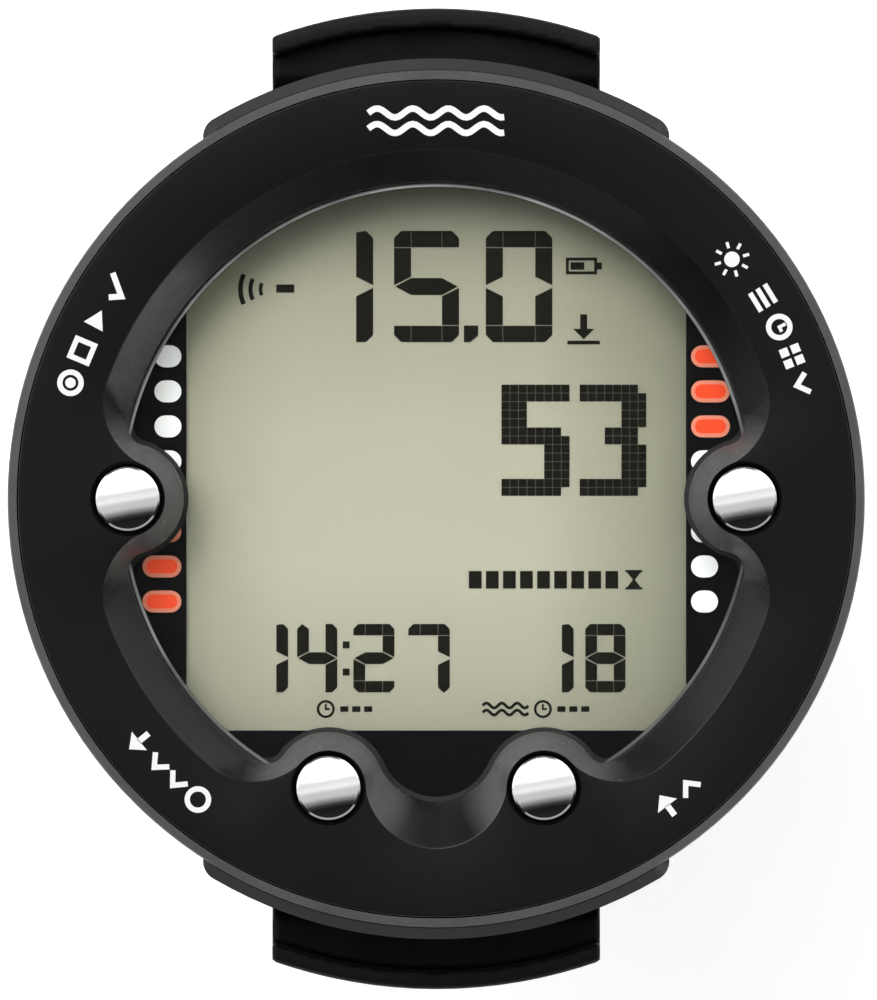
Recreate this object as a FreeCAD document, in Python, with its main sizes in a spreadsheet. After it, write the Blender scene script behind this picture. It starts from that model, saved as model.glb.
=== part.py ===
"""Wrist dive computer: a parametric FreeCAD document, one labelled object for each piece.

Frame: millimetres, +Z out of the display, +Y towards 12 o'clock, +X towards 3 o'clock.
The origin is the centre of the flat case back, which rests on the wrist.
"""

import FreeCAD, Part

import math
import os

import Sketcher

V = FreeCAD.Vector
DOC = FreeCAD.newDocument("dive_computer")
SHEET = DOC.addObject("Spreadsheet::Sheet", "Sizes")
SUB_PARTS = []

# Driving sizes in millimetres and degrees: alias, value.
DRIVING = [
    ("case_radius", 34.1),
    ("case_top", 27.3),
    ("bezel_radius", 33.25),
    ("bezel_top", 27.9),
    ("bezel_base", 25.15),
    ("shoulder_radius", 35.05),
    ("shoulder_span", 66.4),
    ("hood_base", 19.2),
    ("back_radius", 25.0),
    ("cavity_radius", 27.6),
    ("ledge_height", 21.0),
    ("window_radius", 25.2),
    ("window_outer_radius", 27.82),
    ("window_corner", 1.5),
    ("window_outer_corner", 5.5),
    ("window_dip", 24.1),
    ("window_outer_dip", 27.8),
    ("button_circle", 24.53),
    ("button_spread", 20.45),
    ("button_shroud", 4.45),
    ("button_radius", 2.64),
    ("button_hole", 2.98),
    ("stem_radius", 1.0),
    ("bush_radius", 1.8),
    ("boss_radius", 2.6),
    ("boss_base", 16.4),
    ("spring_seat", 21.9),
    ("lens_base", 22.7),
    ("gasket_base", 22.2),
    ("panel_half_width", 19.9),
    ("panel_low_edge", 18.46),
    ("lug_pin_reach", 29.4),
    ("lug_pin_height", 7.5),
    ("lug_pin_radius", 0.8),
    ("lug_half_width", 18.4),
    ("lug_gap", 26.7),
    ("ear_radius", 3.0),
    ("barrel_radius", 2.3),
    ("strap_root_width", 26.2),
    ("strap_width", 24.0),
    ("strap_thickness", 3.2),
    ("ridge_inner", 37.75),
    ("ridge_outer", 39.2),
    ("ridge_top", 13.3),
    ("cap_radius", 15.0),
    ("cap_depth", 4.0),
    ("cap_turn", 45.0),
    ("cap_rise", 2.1),
    ("cell_radius", 12.25),
    ("cell_depth", 5.0),
    ("cell_base", 4.4),
    ("board_radius", 27.1),
    ("board_base", 12.9),
    ("board_depth", 0.8),
    ("screw_circle", 31.05),
    ("screw_angle", 58.97),
    ("sensor_reach", 20.6),
    ("seal_radius", 28.75),
    ("seal_wire", 0.65),
    ("clearance", 0.1),
]


class Size:
    """A number together with the sheet formula that it comes from."""

    def __init__(self, value, text):
        self.value = float(value)
        self.text = text

    def _join(self, other, sign, result):
        text = other.text if isinstance(other, Size) else repr(other)
        return Size(result, f"({self.text} {sign} {text})")

    def __add__(self, other):
        return self._join(other, "+", self.value + number(other))

    def __sub__(self, other):
        return self._join(other, "-", self.value - number(other))

    def __rsub__(self, other):
        return Size(other - self.value, f"({other!r} - {self.text})")

    def __mul__(self, other):
        return self._join(other, "*", self.value * number(other))

    def __truediv__(self, other):
        return self._join(other, "/", self.value / number(other))

    def __neg__(self):
        return Size(-self.value, f"(0 - {self.text})")


def number(size):
    """The plain number of a Size or of a number."""
    return size.value if isinstance(size, Size) else float(size)


def fill_sheet():
    """Writes the driving sizes and returns them by name."""
    found = {}
    for row, (alias, value) in enumerate(DRIVING, start=1):
        SHEET.set(f"A{row}", alias)
        SHEET.set(f"B{row}", str(value))
        SHEET.setAlias(f"B{row}", alias)
    DOC.recompute()
    for alias, _ in DRIVING:
        found[alias] = Size(getattr(SHEET, alias), f"Sizes.{alias}")
    return found


class Named:
    """The driving sizes as attributes: S.case_radius."""

    def __init__(self, sizes):
        self.__dict__.update(sizes)


S = Named(fill_sheet())


# ---------------------------------------------------------------- document helpers


def bind(obj, prop, size):
    """Sets one property of an object, through the sheet where the size comes from it."""
    if isinstance(size, Size):
        obj.setExpression(prop, size.text)
    else:
        setattr(obj, prop, size)


def bind_place(obj, x=0.0, y=0.0, z=0.0, axis=None, angle=0.0):
    """Places a Part object: position bound to the sheet, and a fixed turn about an axis."""
    turn = FreeCAD.Rotation(axis or V(0, 0, 1), number(angle))
    obj.Placement = FreeCAD.Placement(V(number(x), number(y), number(z)), turn)
    for part, size in (("x", x), ("y", y), ("z", z)):
        if isinstance(size, Size):
            obj.setExpression(f"Placement.Base.{part}", size.text)


def sub_part(obj, label):
    """Marks an object as one of the exported pieces."""
    obj.Label = label
    SUB_PARTS.append(obj)
    return obj


def cylinder(name, radius, height, x=0.0, y=0.0, z=0.0, axis=None, angle=0.0):
    obj = DOC.addObject("Part::Cylinder", name)
    bind(obj, "Radius", radius)
    bind(obj, "Height", height)
    bind_place(obj, x, y, z, axis, angle)
    return obj


def box(name, length, width, height, x, y, z):
    """A box given by its lowest corner."""
    obj = DOC.addObject("Part::Box", name)
    bind(obj, "Length", length)
    bind(obj, "Width", width)
    bind(obj, "Height", height)
    bind_place(obj, x, y, z)
    return obj


def mid_box(name, length, width, height, x, y, z):
    """A box given by the middle of its lowest face."""
    return box(name, length, width, height, x - length / 2, y - width / 2, z)


def torus(name, ring, wire, x=0.0, y=0.0, z=0.0):
    obj = DOC.addObject("Part::Torus", name)
    bind(obj, "Radius1", ring)
    bind(obj, "Radius2", wire)
    bind_place(obj, x, y, z)
    return obj


def fuse(name, pieces):
    obj = DOC.addObject("Part::MultiFuse", name)
    obj.Shapes = pieces
    obj.Refine = True
    return obj


def cut(name, base, tools):
    obj = DOC.addObject("Part::Cut", name)
    obj.Base = base
    obj.Tool = tools[0] if len(tools) == 1 else fuse(f"{name}_tools", tools)
    obj.Refine = True
    return obj


def common(name, first, second):
    obj = DOC.addObject("Part::MultiCommon", name)
    obj.Shapes = [first, second]
    return obj


def group(name, pieces):
    """Separate solids that share one piece name, such as a set of screws."""
    obj = DOC.addObject("Part::Compound", name)
    obj.Links = pieces
    return obj


def feature(name, shape):
    """A shape made with Part's own functions, where no document feature fits."""
    obj = DOC.addObject("Part::Feature", name)
    obj.Shape = shape
    return obj


def new_body(name):
    return DOC.addObject("PartDesign::Body", name)


def origin_plane(body, role):
    return next(f for f in body.Origin.OriginFeatures if f.Role == role)


def new_sketch(body, name, role="XZ_Plane"):
    sketch = body.newObject("Sketcher::SketchObject", name)
    sketch.AttachmentSupport = [(origin_plane(body, role), "")]
    sketch.MapMode = "FlatFace"
    return sketch


def outline(sketch, corners):
    """A closed outline through corners, each given as two sizes that the sheet drives."""
    points = [V(number(u), number(v), 0) for u, v in corners]
    lines = [Part.LineSegment(p, points[(i + 1) % len(points)]) for i, p in enumerate(points)]
    first = sketch.GeometryCount
    sketch.addGeometry(lines, False)
    count = len(points)
    for i in range(count):
        last = first + (i - 1) % count
        sketch.addConstraint(Sketcher.Constraint("Coincident", last, 2, first + i, 1))
    for i, (u, v) in enumerate(corners):
        for kind, size in (("DistanceX", u), ("DistanceY", v)):
            at = sketch.addConstraint(
                Sketcher.Constraint(kind, -1, 1, first + i, 1, number(size))
            )
            if isinstance(size, Size):
                sketch.setExpression(f"Constraints[{at}]", size.text)


def turned(name, profile):
    """A body turned about Z from a closed (radius, height) profile."""
    body = new_body(name)
    sketch = new_sketch(body, f"{name}_profile")
    outline(sketch, profile)
    turn = body.newObject("PartDesign::Revolution", f"{name}_turn")
    turn.Profile = sketch
    turn.ReferenceAxis = (sketch, ["V_Axis"])
    turn.Angle = 360
    body.Tip = turn
    DOC.recompute()
    return body


def place_body(body, x, y):
    """Moves a turned body so that its axis stands at x and y."""
    body.Placement = FreeCAD.Placement(V(x, y, 0), FreeCAD.Rotation())


def dress(body, kind, size, test):
    """A Fillet or Chamfer on the edges of a body's tip that pass a test."""
    tip = body.Tip
    names = [f"Edge{i}" for i, edge in enumerate(tip.Shape.Edges, start=1) if test(edge)]
    if not names:
        raise RuntimeError(f"{body.Name}: no edge to {kind.lower()}")
    dressed = body.newObject(f"PartDesign::{kind}", f"{body.Name}_{kind.lower()}_{len(body.Group)}")
    dressed.Base = (tip, names)
    bind(dressed, "Radius" if kind == "Fillet" else "Size", size)
    body.Tip = dressed
    DOC.recompute()
    return dressed


def ring_edge(radius, height):
    """A test for the circular edges about Z at a radius and a height."""

    def test(edge):
        curve = edge.Curve
        return (
            isinstance(curve, Part.Circle)
            and abs(curve.Radius - number(radius)) < 0.02
            and abs(edge.BoundBox.ZMin - number(height)) < 0.02
            and abs(edge.BoundBox.ZMax - number(height)) < 0.02
        )

    return test


# ---------------------------------------------------------------- places that repeat


def button_places():
    """Name, x and y of each button axis: at 9 and 3 o'clock, and two near 6 o'clock."""
    across = S.button_circle * math.sin(math.radians(S.button_spread.value))
    down = S.button_circle * math.cos(math.radians(S.button_spread.value))
    return [
        ("left", -S.button_circle, 0.0),
        ("right", S.button_circle, 0.0),
        ("low_left", -across, -down),
        ("low_right", across, -down),
    ]


def screw_places():
    """x and y of the four case screws, one in each lug."""
    along = S.screw_circle * math.cos(math.radians(S.screw_angle.value))
    aside = S.screw_circle * math.sin(math.radians(S.screw_angle.value))
    return [(along, aside), (-along, aside), (-along, -aside), (along, -aside)]


def drill(name, radius, low, high, places):
    """Vertical drills from one height to another at several places."""
    return [
        cylinder(f"{name}_{i}", radius, high - low, x, y, low)
        for i, (x, y) in enumerate(places, start=1)
    ]


def button_xy():
    return [(x, y) for _, x, y in button_places()]


# ---------------------------------------------------------------- window outline


def polar(radius, angle):
    """A point from its radius and its angle clockwise from 12 o'clock, in degrees."""
    turn = math.radians(angle)
    return V(radius * math.sin(turn), radius * math.cos(turn), 0)


def arc_about(centre, radius, start, end):
    """The arc about a centre from start to end, the short way round."""
    first = (start - centre).normalize()
    last = (end - centre).normalize()
    middle = (first + last).normalize()
    return Part.Arc(start, centre + middle * radius, end).toShape()


def toward(centre, target, distance):
    """The point that far from a centre in the direction of a target."""
    return centre + (target - centre).normalize() * distance


def window_wire(radius, shroud, corner, dip, height):
    """The window's outline at a height: a circle that bends round the four buttons.

    radius is the main circle, shroud the arc about each button, corner the arc that joins the
    two, and dip how far the outline reaches down between the two lower buttons.
    """
    centre = V(0, 0, 0)
    ring = S.button_circle.value
    low_angle = 180 - S.button_spread.value
    side = polar(ring, 90)
    low = polar(ring, low_angle)

    def corner_centre(button, sense):
        reach = radius - corner
        span = shroud + corner
        swing = math.degrees(
            math.acos((reach**2 + ring**2 - span**2) / (2 * reach * ring))
        )
        return polar(reach, button + sense * swing)

    # The dip is one arc below the line between the two lower buttons, tangent to both shrouds.
    half = abs(low.x)
    drop = dip + low.y
    rise = (half**2 - (shroud + drop) ** 2) / (2 * (shroud + drop))
    dip_radius = drop + rise
    dip_centre = V(0, low.y + rise, 0)

    upper = corner_centre(90, -1)
    lower = corner_centre(90, 1)
    last = corner_centre(low_angle, -1)
    stops = [
        polar(radius, 0),
        toward(centre, upper, radius),
        toward(upper, side, corner),
        toward(lower, side, corner),
        toward(centre, lower, radius),
        toward(centre, last, radius),
        toward(last, low, corner),
        toward(dip_centre, low, dip_radius),
        V(0, dip_centre.y - dip_radius, 0),
    ]
    arcs = [
        (centre, radius),
        (upper, corner),
        (side, shroud),
        (lower, corner),
        (centre, radius),
        (last, corner),
        (low, shroud),
        (dip_centre, dip_radius),
    ]
    right = [
        arc_about(middle, size, stops[i], stops[i + 1]) for i, (middle, size) in enumerate(arcs)
    ]
    mirror = FreeCAD.Matrix(-1, 0, 0, 0, 0, 1, 0, 0, 0, 0, 1, 0, 0, 0, 0, 1)
    left = [edge.transformGeometry(mirror) for edge in reversed(right)]
    wire = Part.Wire(Part.__sortEdges__(right + left))
    wire.translate(V(0, 0, height))
    return wire


def inner_window(grow, height):
    """The window's lower outline, grown outwards by an amount."""
    return window_wire(
        S.window_radius.value + grow,
        S.button_shroud.value - grow,
        S.window_corner.value + grow,
        S.window_dip.value + grow,
        height,
    )


def outer_window(height):
    """The outline where the sloping wall meets the bezel's flat face."""
    return window_wire(
        S.window_outer_radius.value,
        S.button_hole.value,
        S.window_outer_corner.value,
        S.window_outer_dip.value,
        height,
    )


def window_prism(grow, low, high):
    """A solid with the window's outline between two heights."""
    face = Part.Face(inner_window(grow, low))
    return face.extrude(V(0, 0, high - low))


# ---------------------------------------------------------------- case shells


def rear_case():
    """The cup that holds everything, with lugs, cell compartment and sensor port."""
    wall = S.cap_radius + 2.6
    roof = S.cell_base + 5.5
    body = turned(
        "rear_case_shell",
        [
            (S.cap_radius + S.clearance, 0),
            (S.back_radius, 0),
            (S.back_radius + 2.3, 1.7),
            (S.back_radius + 4.6, 8.0),
            (S.case_radius - 3.1, 15.2),
            (S.case_radius, 19.4),
            (S.case_radius, S.case_top - 1.3),
            (S.bezel_radius + 0.12, S.case_top),
            (S.bezel_radius + 0.08, S.ledge_height),
            (S.seal_radius + 0.75, S.ledge_height),
            (S.seal_radius + 0.75, S.ledge_height - S.seal_wire * 2),
            (S.seal_radius - 0.75, S.ledge_height - S.seal_wire * 2),
            (S.seal_radius - 0.75, S.ledge_height),
            (S.cavity_radius, S.ledge_height),
            (S.cavity_radius, S.board_base),
            (S.cavity_radius - 1.5, S.board_base),
            (S.back_radius - 1.2, 1.8),
            (wall, 1.8),
            (wall, roof + 1.2),
            (0, roof + 1.2),
            (0, roof),
            (S.cell_radius + 0.35, roof),
            (S.cell_radius + 0.35, S.cell_base - 0.05),
            (S.cap_radius + S.clearance, S.cell_base - 0.05),
        ],
    )
    dress(body, "Fillet", 0.9, ring_edge(S.case_radius, S.case_top - 1.3))
    dress(body, "Fillet", 2.0, ring_edge(S.case_radius, 19.4))
    dress(body, "Fillet", 1.2, ring_edge(S.back_radius + 2.3, 1.7))

    shell = fuse("rear_case_lugged", [body, lug_blocks()])
    tools = [strap_way(side) for side in (1, -1)]
    tools += [lug_bore(side) for side in (1, -1)]
    tools += drill("case_screw_head_bore", 1.6, 0, 15.0, screw_places())
    tools += drill("case_screw_bore", 0.9, 14, S.ledge_height + 1, screw_places())
    tools += [
        cylinder("vent_seat", 3.4, 2.0, 0, -S.sensor_reach, -1.0),
        cylinder("vent_port", 2.0, 4.0, 0, -S.sensor_reach, -1.0),
        box("positive_slot", 0.9, 5.4, 4.0, S.cell_radius - 0.2, -2.7, roof - 1),
        cylinder("negative_hole", 0.7, 4.0, *NEGATIVE_PIN, roof - 1),
        bayonet_ways(),
    ]
    for i, step in enumerate(WATER_CONTACTS, start=1):
        tools.append(cylinder(f"contact_bore_{i}", 1.02, 10.0, -34.0, step, 10.0, V(0, 1, 0), 90))
    return sub_part(cut("rear_case", shell, tools), "rear_case")


def sector(radius, inner, span, middle, low, high):
    """A ring sector about Z: span and middle are angles from +X, in degrees."""
    pie = Part.makeCylinder(radius, high - low, V(0, 0, low), V(0, 0, 1), span)
    pie.rotate(V(0, 0, 0), V(0, 0, 1), middle - span / 2)
    return pie.cut(Part.makeCylinder(inner, high - low + 2, V(0, 0, low - 1)))


def both_ends(shape):
    """A shape at 12 o'clock and its mirror image at 6 o'clock."""
    return shape.fuse(shape.mirror(V(0, 0, 0), V(0, 1, 0)))


def lug_blocks():
    """The shoulders at 12 and 6 o'clock that hood the strap roots and carry the spring bars."""
    reach, height = S.lug_pin_reach.value, S.lug_pin_height.value
    radius, half = S.shoulder_radius.value, S.lug_half_width.value
    low, high = height - S.ear_radius.value, S.case_top.value - 1.7
    block = sector(radius, S.cavity_radius.value + 0.4, S.shoulder_span.value, 90, low, high)
    block = block.makeFillet(1.6, outer_uprights(block, radius))
    block = block.makeChamfer(0.85, top_rim(block, high))

    # The deck and its seal sit inside the blocks; below the hood the lugs narrow to two ears,
    # rounded about the spring bar.
    deck_room = Part.makeCylinder(S.bezel_radius.value + 0.35, 20, V(0, 0, S.hood_base.value))
    round_ear = Part.makeCylinder(height - low, 60, V(-30, reach, height), V(1, 0, 0))
    corner = Part.makeBox(60, 12, 12, V(-30, reach, height - 12)).cut(round_ear)
    tools = [deck_room, corner]
    for side in (1, -1):
        flank = Part.makePolygon(
            [
                V(side * half, 10, low - 1),
                V(side * half, 10, 14.0),
                V(side * (half + 4), 10, 18.0),
                V(side * 40, 10, 18.0),
                V(side * 40, 10, low - 1),
                V(side * half, 10, low - 1),
            ]
        )
        tools.append(Part.Face(flank).extrude(V(0, 30, 0)))
    return feature("lug_blocks", both_ends(block.cut(tools)))


def outer_uprights(block, radius):
    """The two upright edges at the outer ends of a shoulder."""

    def chosen(edge):
        ends = [math.hypot(v.Point.x, v.Point.y) for v in edge.Vertexes]
        upright = edge.BoundBox.XLength < 0.01 and edge.BoundBox.YLength < 0.01
        return upright and all(abs(end - radius) < 0.01 for end in ends)

    return [edge for edge in block.Edges if chosen(edge)]


def top_rim(block, height):
    """The edges round the top of a shoulder, without the inner one."""

    def chosen(edge):
        middle = edge.valueAt((edge.FirstParameter + edge.LastParameter) / 2)
        return edge.BoundBox.ZMin > height - 0.01 and math.hypot(middle.x, middle.y) > 30

    return [edge for edge in block.Edges if chosen(edge)]


def strap_way(side):
    """The room between the ears where a strap root sits and swings."""
    reach, height = S.lug_pin_reach.value, S.lug_pin_height.value
    half, wall = S.lug_gap.value / 2, S.cavity_radius.value + 1.4
    swing_radius = S.barrel_radius.value + 0.9
    swing = Part.makeCylinder(swing_radius, 2 * half, V(-half, reach, height), V(1, 0, 0))
    room = Part.makeBox(2 * half, 20, S.hood_base.value + 2, V(-half, wall, -2))
    way = swing.fuse(room)
    if side < 0:
        way = way.mirror(V(0, 0, 0), V(0, 1, 0))
    return feature("strap_way_top" if side > 0 else "strap_way_bottom", way)


def lug_bore(side):
    """The two blind holes for the tips of one spring bar."""
    length = S.lug_gap + 5.4
    name = "lug_bore_top" if side > 0 else "lug_bore_bottom"
    return cylinder(name, 0.53, length, -(length / 2), S.lug_pin_reach * side, S.lug_pin_height,
                    V(0, 1, 0), 90)


TAB_SPAN = 12.0
TAB_LOW = 0.9
TAB_DEPTH = 1.0
TAB_REACH = 1.0
TAB_PLACES = (30, 150, 270)
WAY_STEPS = 9


def bayonet_ways():
    """Three sloping ways that the cap's tabs climb as it turns, out to the case back."""
    turn, rise = S.cap_turn.value, S.cap_rise.value
    spare = 0.12 + rise / WAY_STEPS
    radius = S.cap_radius.value + TAB_REACH + 0.15
    span = TAB_SPAN + 2 + 2 * turn / WAY_STEPS
    stations = []
    for place in TAB_PLACES:
        for step in range(WAY_STEPS + 1):
            share = step / WAY_STEPS
            low = TAB_LOW - rise * share - spare
            high = TAB_LOW + TAB_DEPTH - rise * share + spare
            pie = Part.makeCylinder(radius, high - low, V(0, 0, low), V(0, 0, 1), span)
            pie.rotate(V(0, 0, 0), V(0, 0, 1), place + turn * share - span / 2)
            stations.append(pie)
    return feature("bayonet_ways", stations[0].fuse(stations[1:]).removeSplitter())


def bezel():
    """The front ring with its sloping window wall and the four button holes."""
    inner = 19.0
    ring = turned(
        "bezel_ring",
        [
            (inner, S.bezel_base),
            (S.bezel_radius, S.bezel_base),
            (S.bezel_radius, S.bezel_top),
            (inner, S.bezel_top),
        ],
    )
    dress(ring, "Fillet", 0.45, ring_edge(S.bezel_radius, S.bezel_top))
    lip = S.bezel_base.value + 0.3
    top = S.bezel_top.value
    slope = Part.makeLoft([inner_window(0, lip), outer_window(top)], True, True)
    below = window_prism(0, lip - 2, lip)
    above = Part.Face(outer_window(top)).extrude(V(0, 0, 2))
    tools = [feature("window_opening", slope.fuse([below, above]))]
    tools += drill("bezel_button_hole", S.button_hole, S.bezel_base - 1, S.bezel_top + 1, button_xy())
    tools += drill("bezel_screw_hole", 0.82, S.bezel_base - 1, S.bezel_base + 1.5, screw_places())
    return sub_part(cut("bezel", ring, tools), "bezel")


def front_frame():
    """The sealed front deck: window seat, spring pockets and the button bosses."""
    deck_top = S.bezel_base - 0.05
    deck = cylinder("front_deck", S.bezel_radius, deck_top - S.ledge_height, z=S.ledge_height)
    bosses = drill("button_boss", S.boss_radius, S.boss_base, S.ledge_height + 0.5, button_xy())
    seat = feature("window_seat", window_prism(1.1, S.gasket_base.value, S.bezel_base.value + 1))
    sight = feature("window_sight", window_prism(-0.35, S.ledge_height.value - 1, 24))
    tools = [seat, sight]
    tools += drill("spring_pocket", 2.78, S.spring_seat, S.bezel_base + 1, button_xy())
    tools += drill("bush_bore", S.bush_radius + 0.01, S.boss_base - 1, S.bezel_base, button_xy())
    tools += drill("deck_screw_hole", 0.9, S.ledge_height - 1, S.bezel_base + 1, screw_places())
    frame = cut("front_frame", fuse("front_frame_blank", [deck] + bosses), tools)
    return sub_part(frame, "front_frame")


def case_screws():
    """Four screws, up through the lugs, that pull the rear case, front frame and bezel together."""
    head_base, head_depth, drive_depth = 13.7, 1.3, 0.7
    screws = []
    for i, (x, y) in enumerate(screw_places(), start=1):
        head = cylinder(f"case_screw_head_{i}", 1.45, head_depth, x, y, head_base)
        shank = cylinder(f"case_screw_shank_{i}", 0.8, 11.4, x, y, head_base + head_depth)
        slots = [
            mid_box(f"case_screw_slot_{i}_{j}", wide, deep, drive_depth + 0.1, x, y, head_base - 0.1)
            for j, (wide, deep) in enumerate(((1.9, 0.45), (0.45, 1.9)))
        ]
        blank = fuse(f"case_screw_blank_{i}", [head, shank])
        screws.append(cut(f"case_screw_{i}", blank, slots))
    return sub_part(group("case_screws", screws), "case_screws")


# ---------------------------------------------------------------- window and display


def lens():
    """The mineral window, chamfered where it meets the bezel."""
    top = S.bezel_base.value - 0.05
    pane = window_prism(0.98, S.lens_base.value, top)
    rim = [e for e in pane.Edges if e.BoundBox.ZMin > top - 0.01 and e.BoundBox.ZLength < 0.01]
    return sub_part(feature("lens", pane.makeChamfer(0.3, rim)), "lens")


def lens_gasket():
    low, high = S.gasket_base.value, S.lens_base.value
    ring = window_prism(1.0, low, high).cut(window_prism(0.15, low - 1, high + 1))
    return sub_part(feature("lens_gasket", ring), "lens_gasket")


def case_seal():
    ring = torus("case_seal_ring", S.seal_radius, S.seal_wire, z=S.ledge_height - S.seal_wire)
    return sub_part(ring, "case_seal")


MASK_BASE = 20.65
MASK_DEPTH = 0.3
PANEL_BASE = 18.6
PANEL_DEPTH = 2.0
LIGHT_BASE = 17.85
LIGHT_DEPTH = 0.7
MARK_PITCH = 2.79
MARK_TOP = 11.35
MARK_EDGE = 20.3
MARK_WIDTH = 1.75
MARK_DEPTH = 0.04


def boss_gaps(name):
    """Room for the four button bosses in the pieces under the front frame."""
    return drill(name, S.boss_radius + 0.3, 10, 22, button_xy())


def display_mask():
    """The black surround of the display, open over the panel."""
    blank = cylinder("mask_blank", 26.9, MASK_DEPTH, 0, 0, MASK_BASE)
    sight_round = cylinder("mask_sight_round", S.window_radius + 0.1, 2.0, 0, 0, MASK_BASE - 1)
    sight_box = box("mask_sight_box", S.panel_half_width * 2, 50.0, 2.0,
                    -S.panel_half_width, -S.panel_low_edge, MASK_BASE - 1)
    sight = common("mask_sight", sight_round, sight_box)
    return sub_part(cut("display_mask", blank, boss_gaps("mask_boss_gap") + [sight]), "display_mask")


def mark(name, side, row, length):
    """One stadium-shaped marker beside the display panel."""
    middle = side * (MARK_EDGE + length / 2)
    run = length - MARK_WIDTH
    y = MARK_TOP - row * MARK_PITCH
    z = MASK_BASE + MASK_DEPTH
    ends = [
        cylinder(f"{name}_end_{i}", MARK_WIDTH / 2, MARK_DEPTH, middle + shift, y, z)
        for i, shift in enumerate((-run / 2, run / 2))
    ]
    return fuse(name, ends + [mid_box(f"{name}_bar", run, MARK_WIDTH, MARK_DEPTH, middle, y, z)])


def display_marks():
    """Eight markers on each side of the panel, in two colours, clear of the button bosses."""
    white = [(-1, row, 2.15) for row in range(5)] + [(1, row, 2.15) for row in range(3, 8)]
    orange = [(-1, row, 3.1) for row in range(5, 8)] + [(1, row, 3.1) for row in range(3)]
    for name, places in (("marks_white", white), ("marks_orange", orange)):
        marks = [mark(f"{name}_{i}", *place) for i, place in enumerate(places, start=1)]
        sub_part(cut(name, group(f"{name}_whole", marks), boss_gaps(f"{name}_gap")), name)


def display_stack():
    """Liquid-crystal panel, backlight, their tray and the rubber connector strip."""
    panel = common(
        "lcd_panel",
        cylinder("panel_round", 26.4, PANEL_DEPTH, 0, 0, PANEL_BASE),
        box("panel_box", 42.0, 46.3, PANEL_DEPTH, -21.0, -19.9, PANEL_BASE),
    )
    sub_part(panel, "lcd_panel")

    light = common(
        "backlight_plate",
        cylinder("light_round", 25.2, LIGHT_DEPTH, 0, 0, LIGHT_BASE),
        box("light_box", 39.0, 42.0, LIGHT_DEPTH, -19.5, -17.4, LIGHT_BASE),
    )
    sub_part(light, "backlight_plate")

    base = S.board_base + S.board_depth
    tray = cylinder("tray_blank", S.board_radius, 20.6 - base, z=base)
    panel_room = common(
        "tray_panel_room",
        cylinder("tray_panel_round", 26.5, 4.0, 0, 0, PANEL_BASE),
        box("tray_panel_box", 42.2, 46.6, 4.0, -21.1, -20.0, PANEL_BASE),
    )
    light_room = box("tray_light_room", 39.4, 42.6, 2.0, -19.7, -17.6, LIGHT_BASE - 0.05)
    chip_room = box("tray_chip_room", 30.0, 30.0, 3.8, -15.0, -14.0, base - 1)
    zebra_slot = box("tray_zebra_slot", 36.4, 1.7, 8.0, -18.2, -19.75, base - 1)
    holes = drill("tray_screw_hole", 0.7, 13, 17.4, tray_screw_xy())
    tools = boss_gaps("tray_boss_gap") + [panel_room, light_room, chip_room, zebra_slot] + holes
    sub_part(cut("display_tray", tray, tools), "display_tray")

    zebra = box("zebra_strip", 36.0, 1.4, PANEL_BASE - base, -18.0, -19.6, base)
    sub_part(zebra, "zebra_connector")


# ---------------------------------------------------------------- electronics

WATER_CONTACTS = (-4.0, 0.0, 4.0)
NEGATIVE_PIN = (-4.0, -2.0)
SOUNDER_AT = (4.0, 2.0)


def tray_screw_xy():
    """x and y of the three screws that hold the board to the tray."""
    return [(-17.5, 15.6), (17.5, 15.6), (20.8, -11.3)]


def circuit_board():
    """The board with its chips, small parts, button switches and screws."""
    board = cylinder("board_blank", S.board_radius, S.board_depth, z=S.board_base)
    holes = drill("board_hole", 0.8, S.board_base - 1, S.board_base + 2, tray_screw_xy())
    sub_part(cut("circuit_board", board, holes), "circuit_board")

    top = S.board_base + S.board_depth
    chips = [
        mid_box("chip_processor", 9, 9, 1.2, -4, 2, top),
        mid_box("chip_memory", 5, 6, 1.0, 7, 6, top),
        mid_box("chip_supply", 3, 3, 0.9, 6, -4, top),
    ]
    sub_part(group("board_chips", chips), "board_chips")

    small = [
        mid_box(f"capacitor_{i}", 1.0, 0.5, 0.5, -10.0 + 2.2 * i, -9.0, top) for i in range(10)
    ]
    small.append(cylinder("crystal_can", 0.95, 6.0, -12.0, 9.0, top + 1.0, V(0, 1, 0), 90))
    sub_part(group("board_passives", small), "board_passives")

    switches = []
    for name, x, y in button_places():
        case = mid_box(f"switch_case_{name}", 4, 4, 0.5, x, y, top)
        dome = cylinder(f"switch_dome_{name}", 0.9, 0.25, x, y, top + 0.5)
        switches.append(fuse(f"switch_{name}", [case, dome]))
    sub_part(group("button_switches", switches), "button_switches")

    screws = []
    for i, (x, y) in enumerate(tray_screw_xy(), start=1):
        head = cylinder(f"tray_screw_head_{i}", 1.3, 0.8, x, y, S.board_base - 0.8)
        shank = cylinder(f"tray_screw_shank_{i}", 0.65, 4.2, x, y, S.board_base)
        screws.append(fuse(f"tray_screw_{i}", [head, shank]))
    sub_part(group("tray_screws", screws), "tray_screws")


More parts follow.
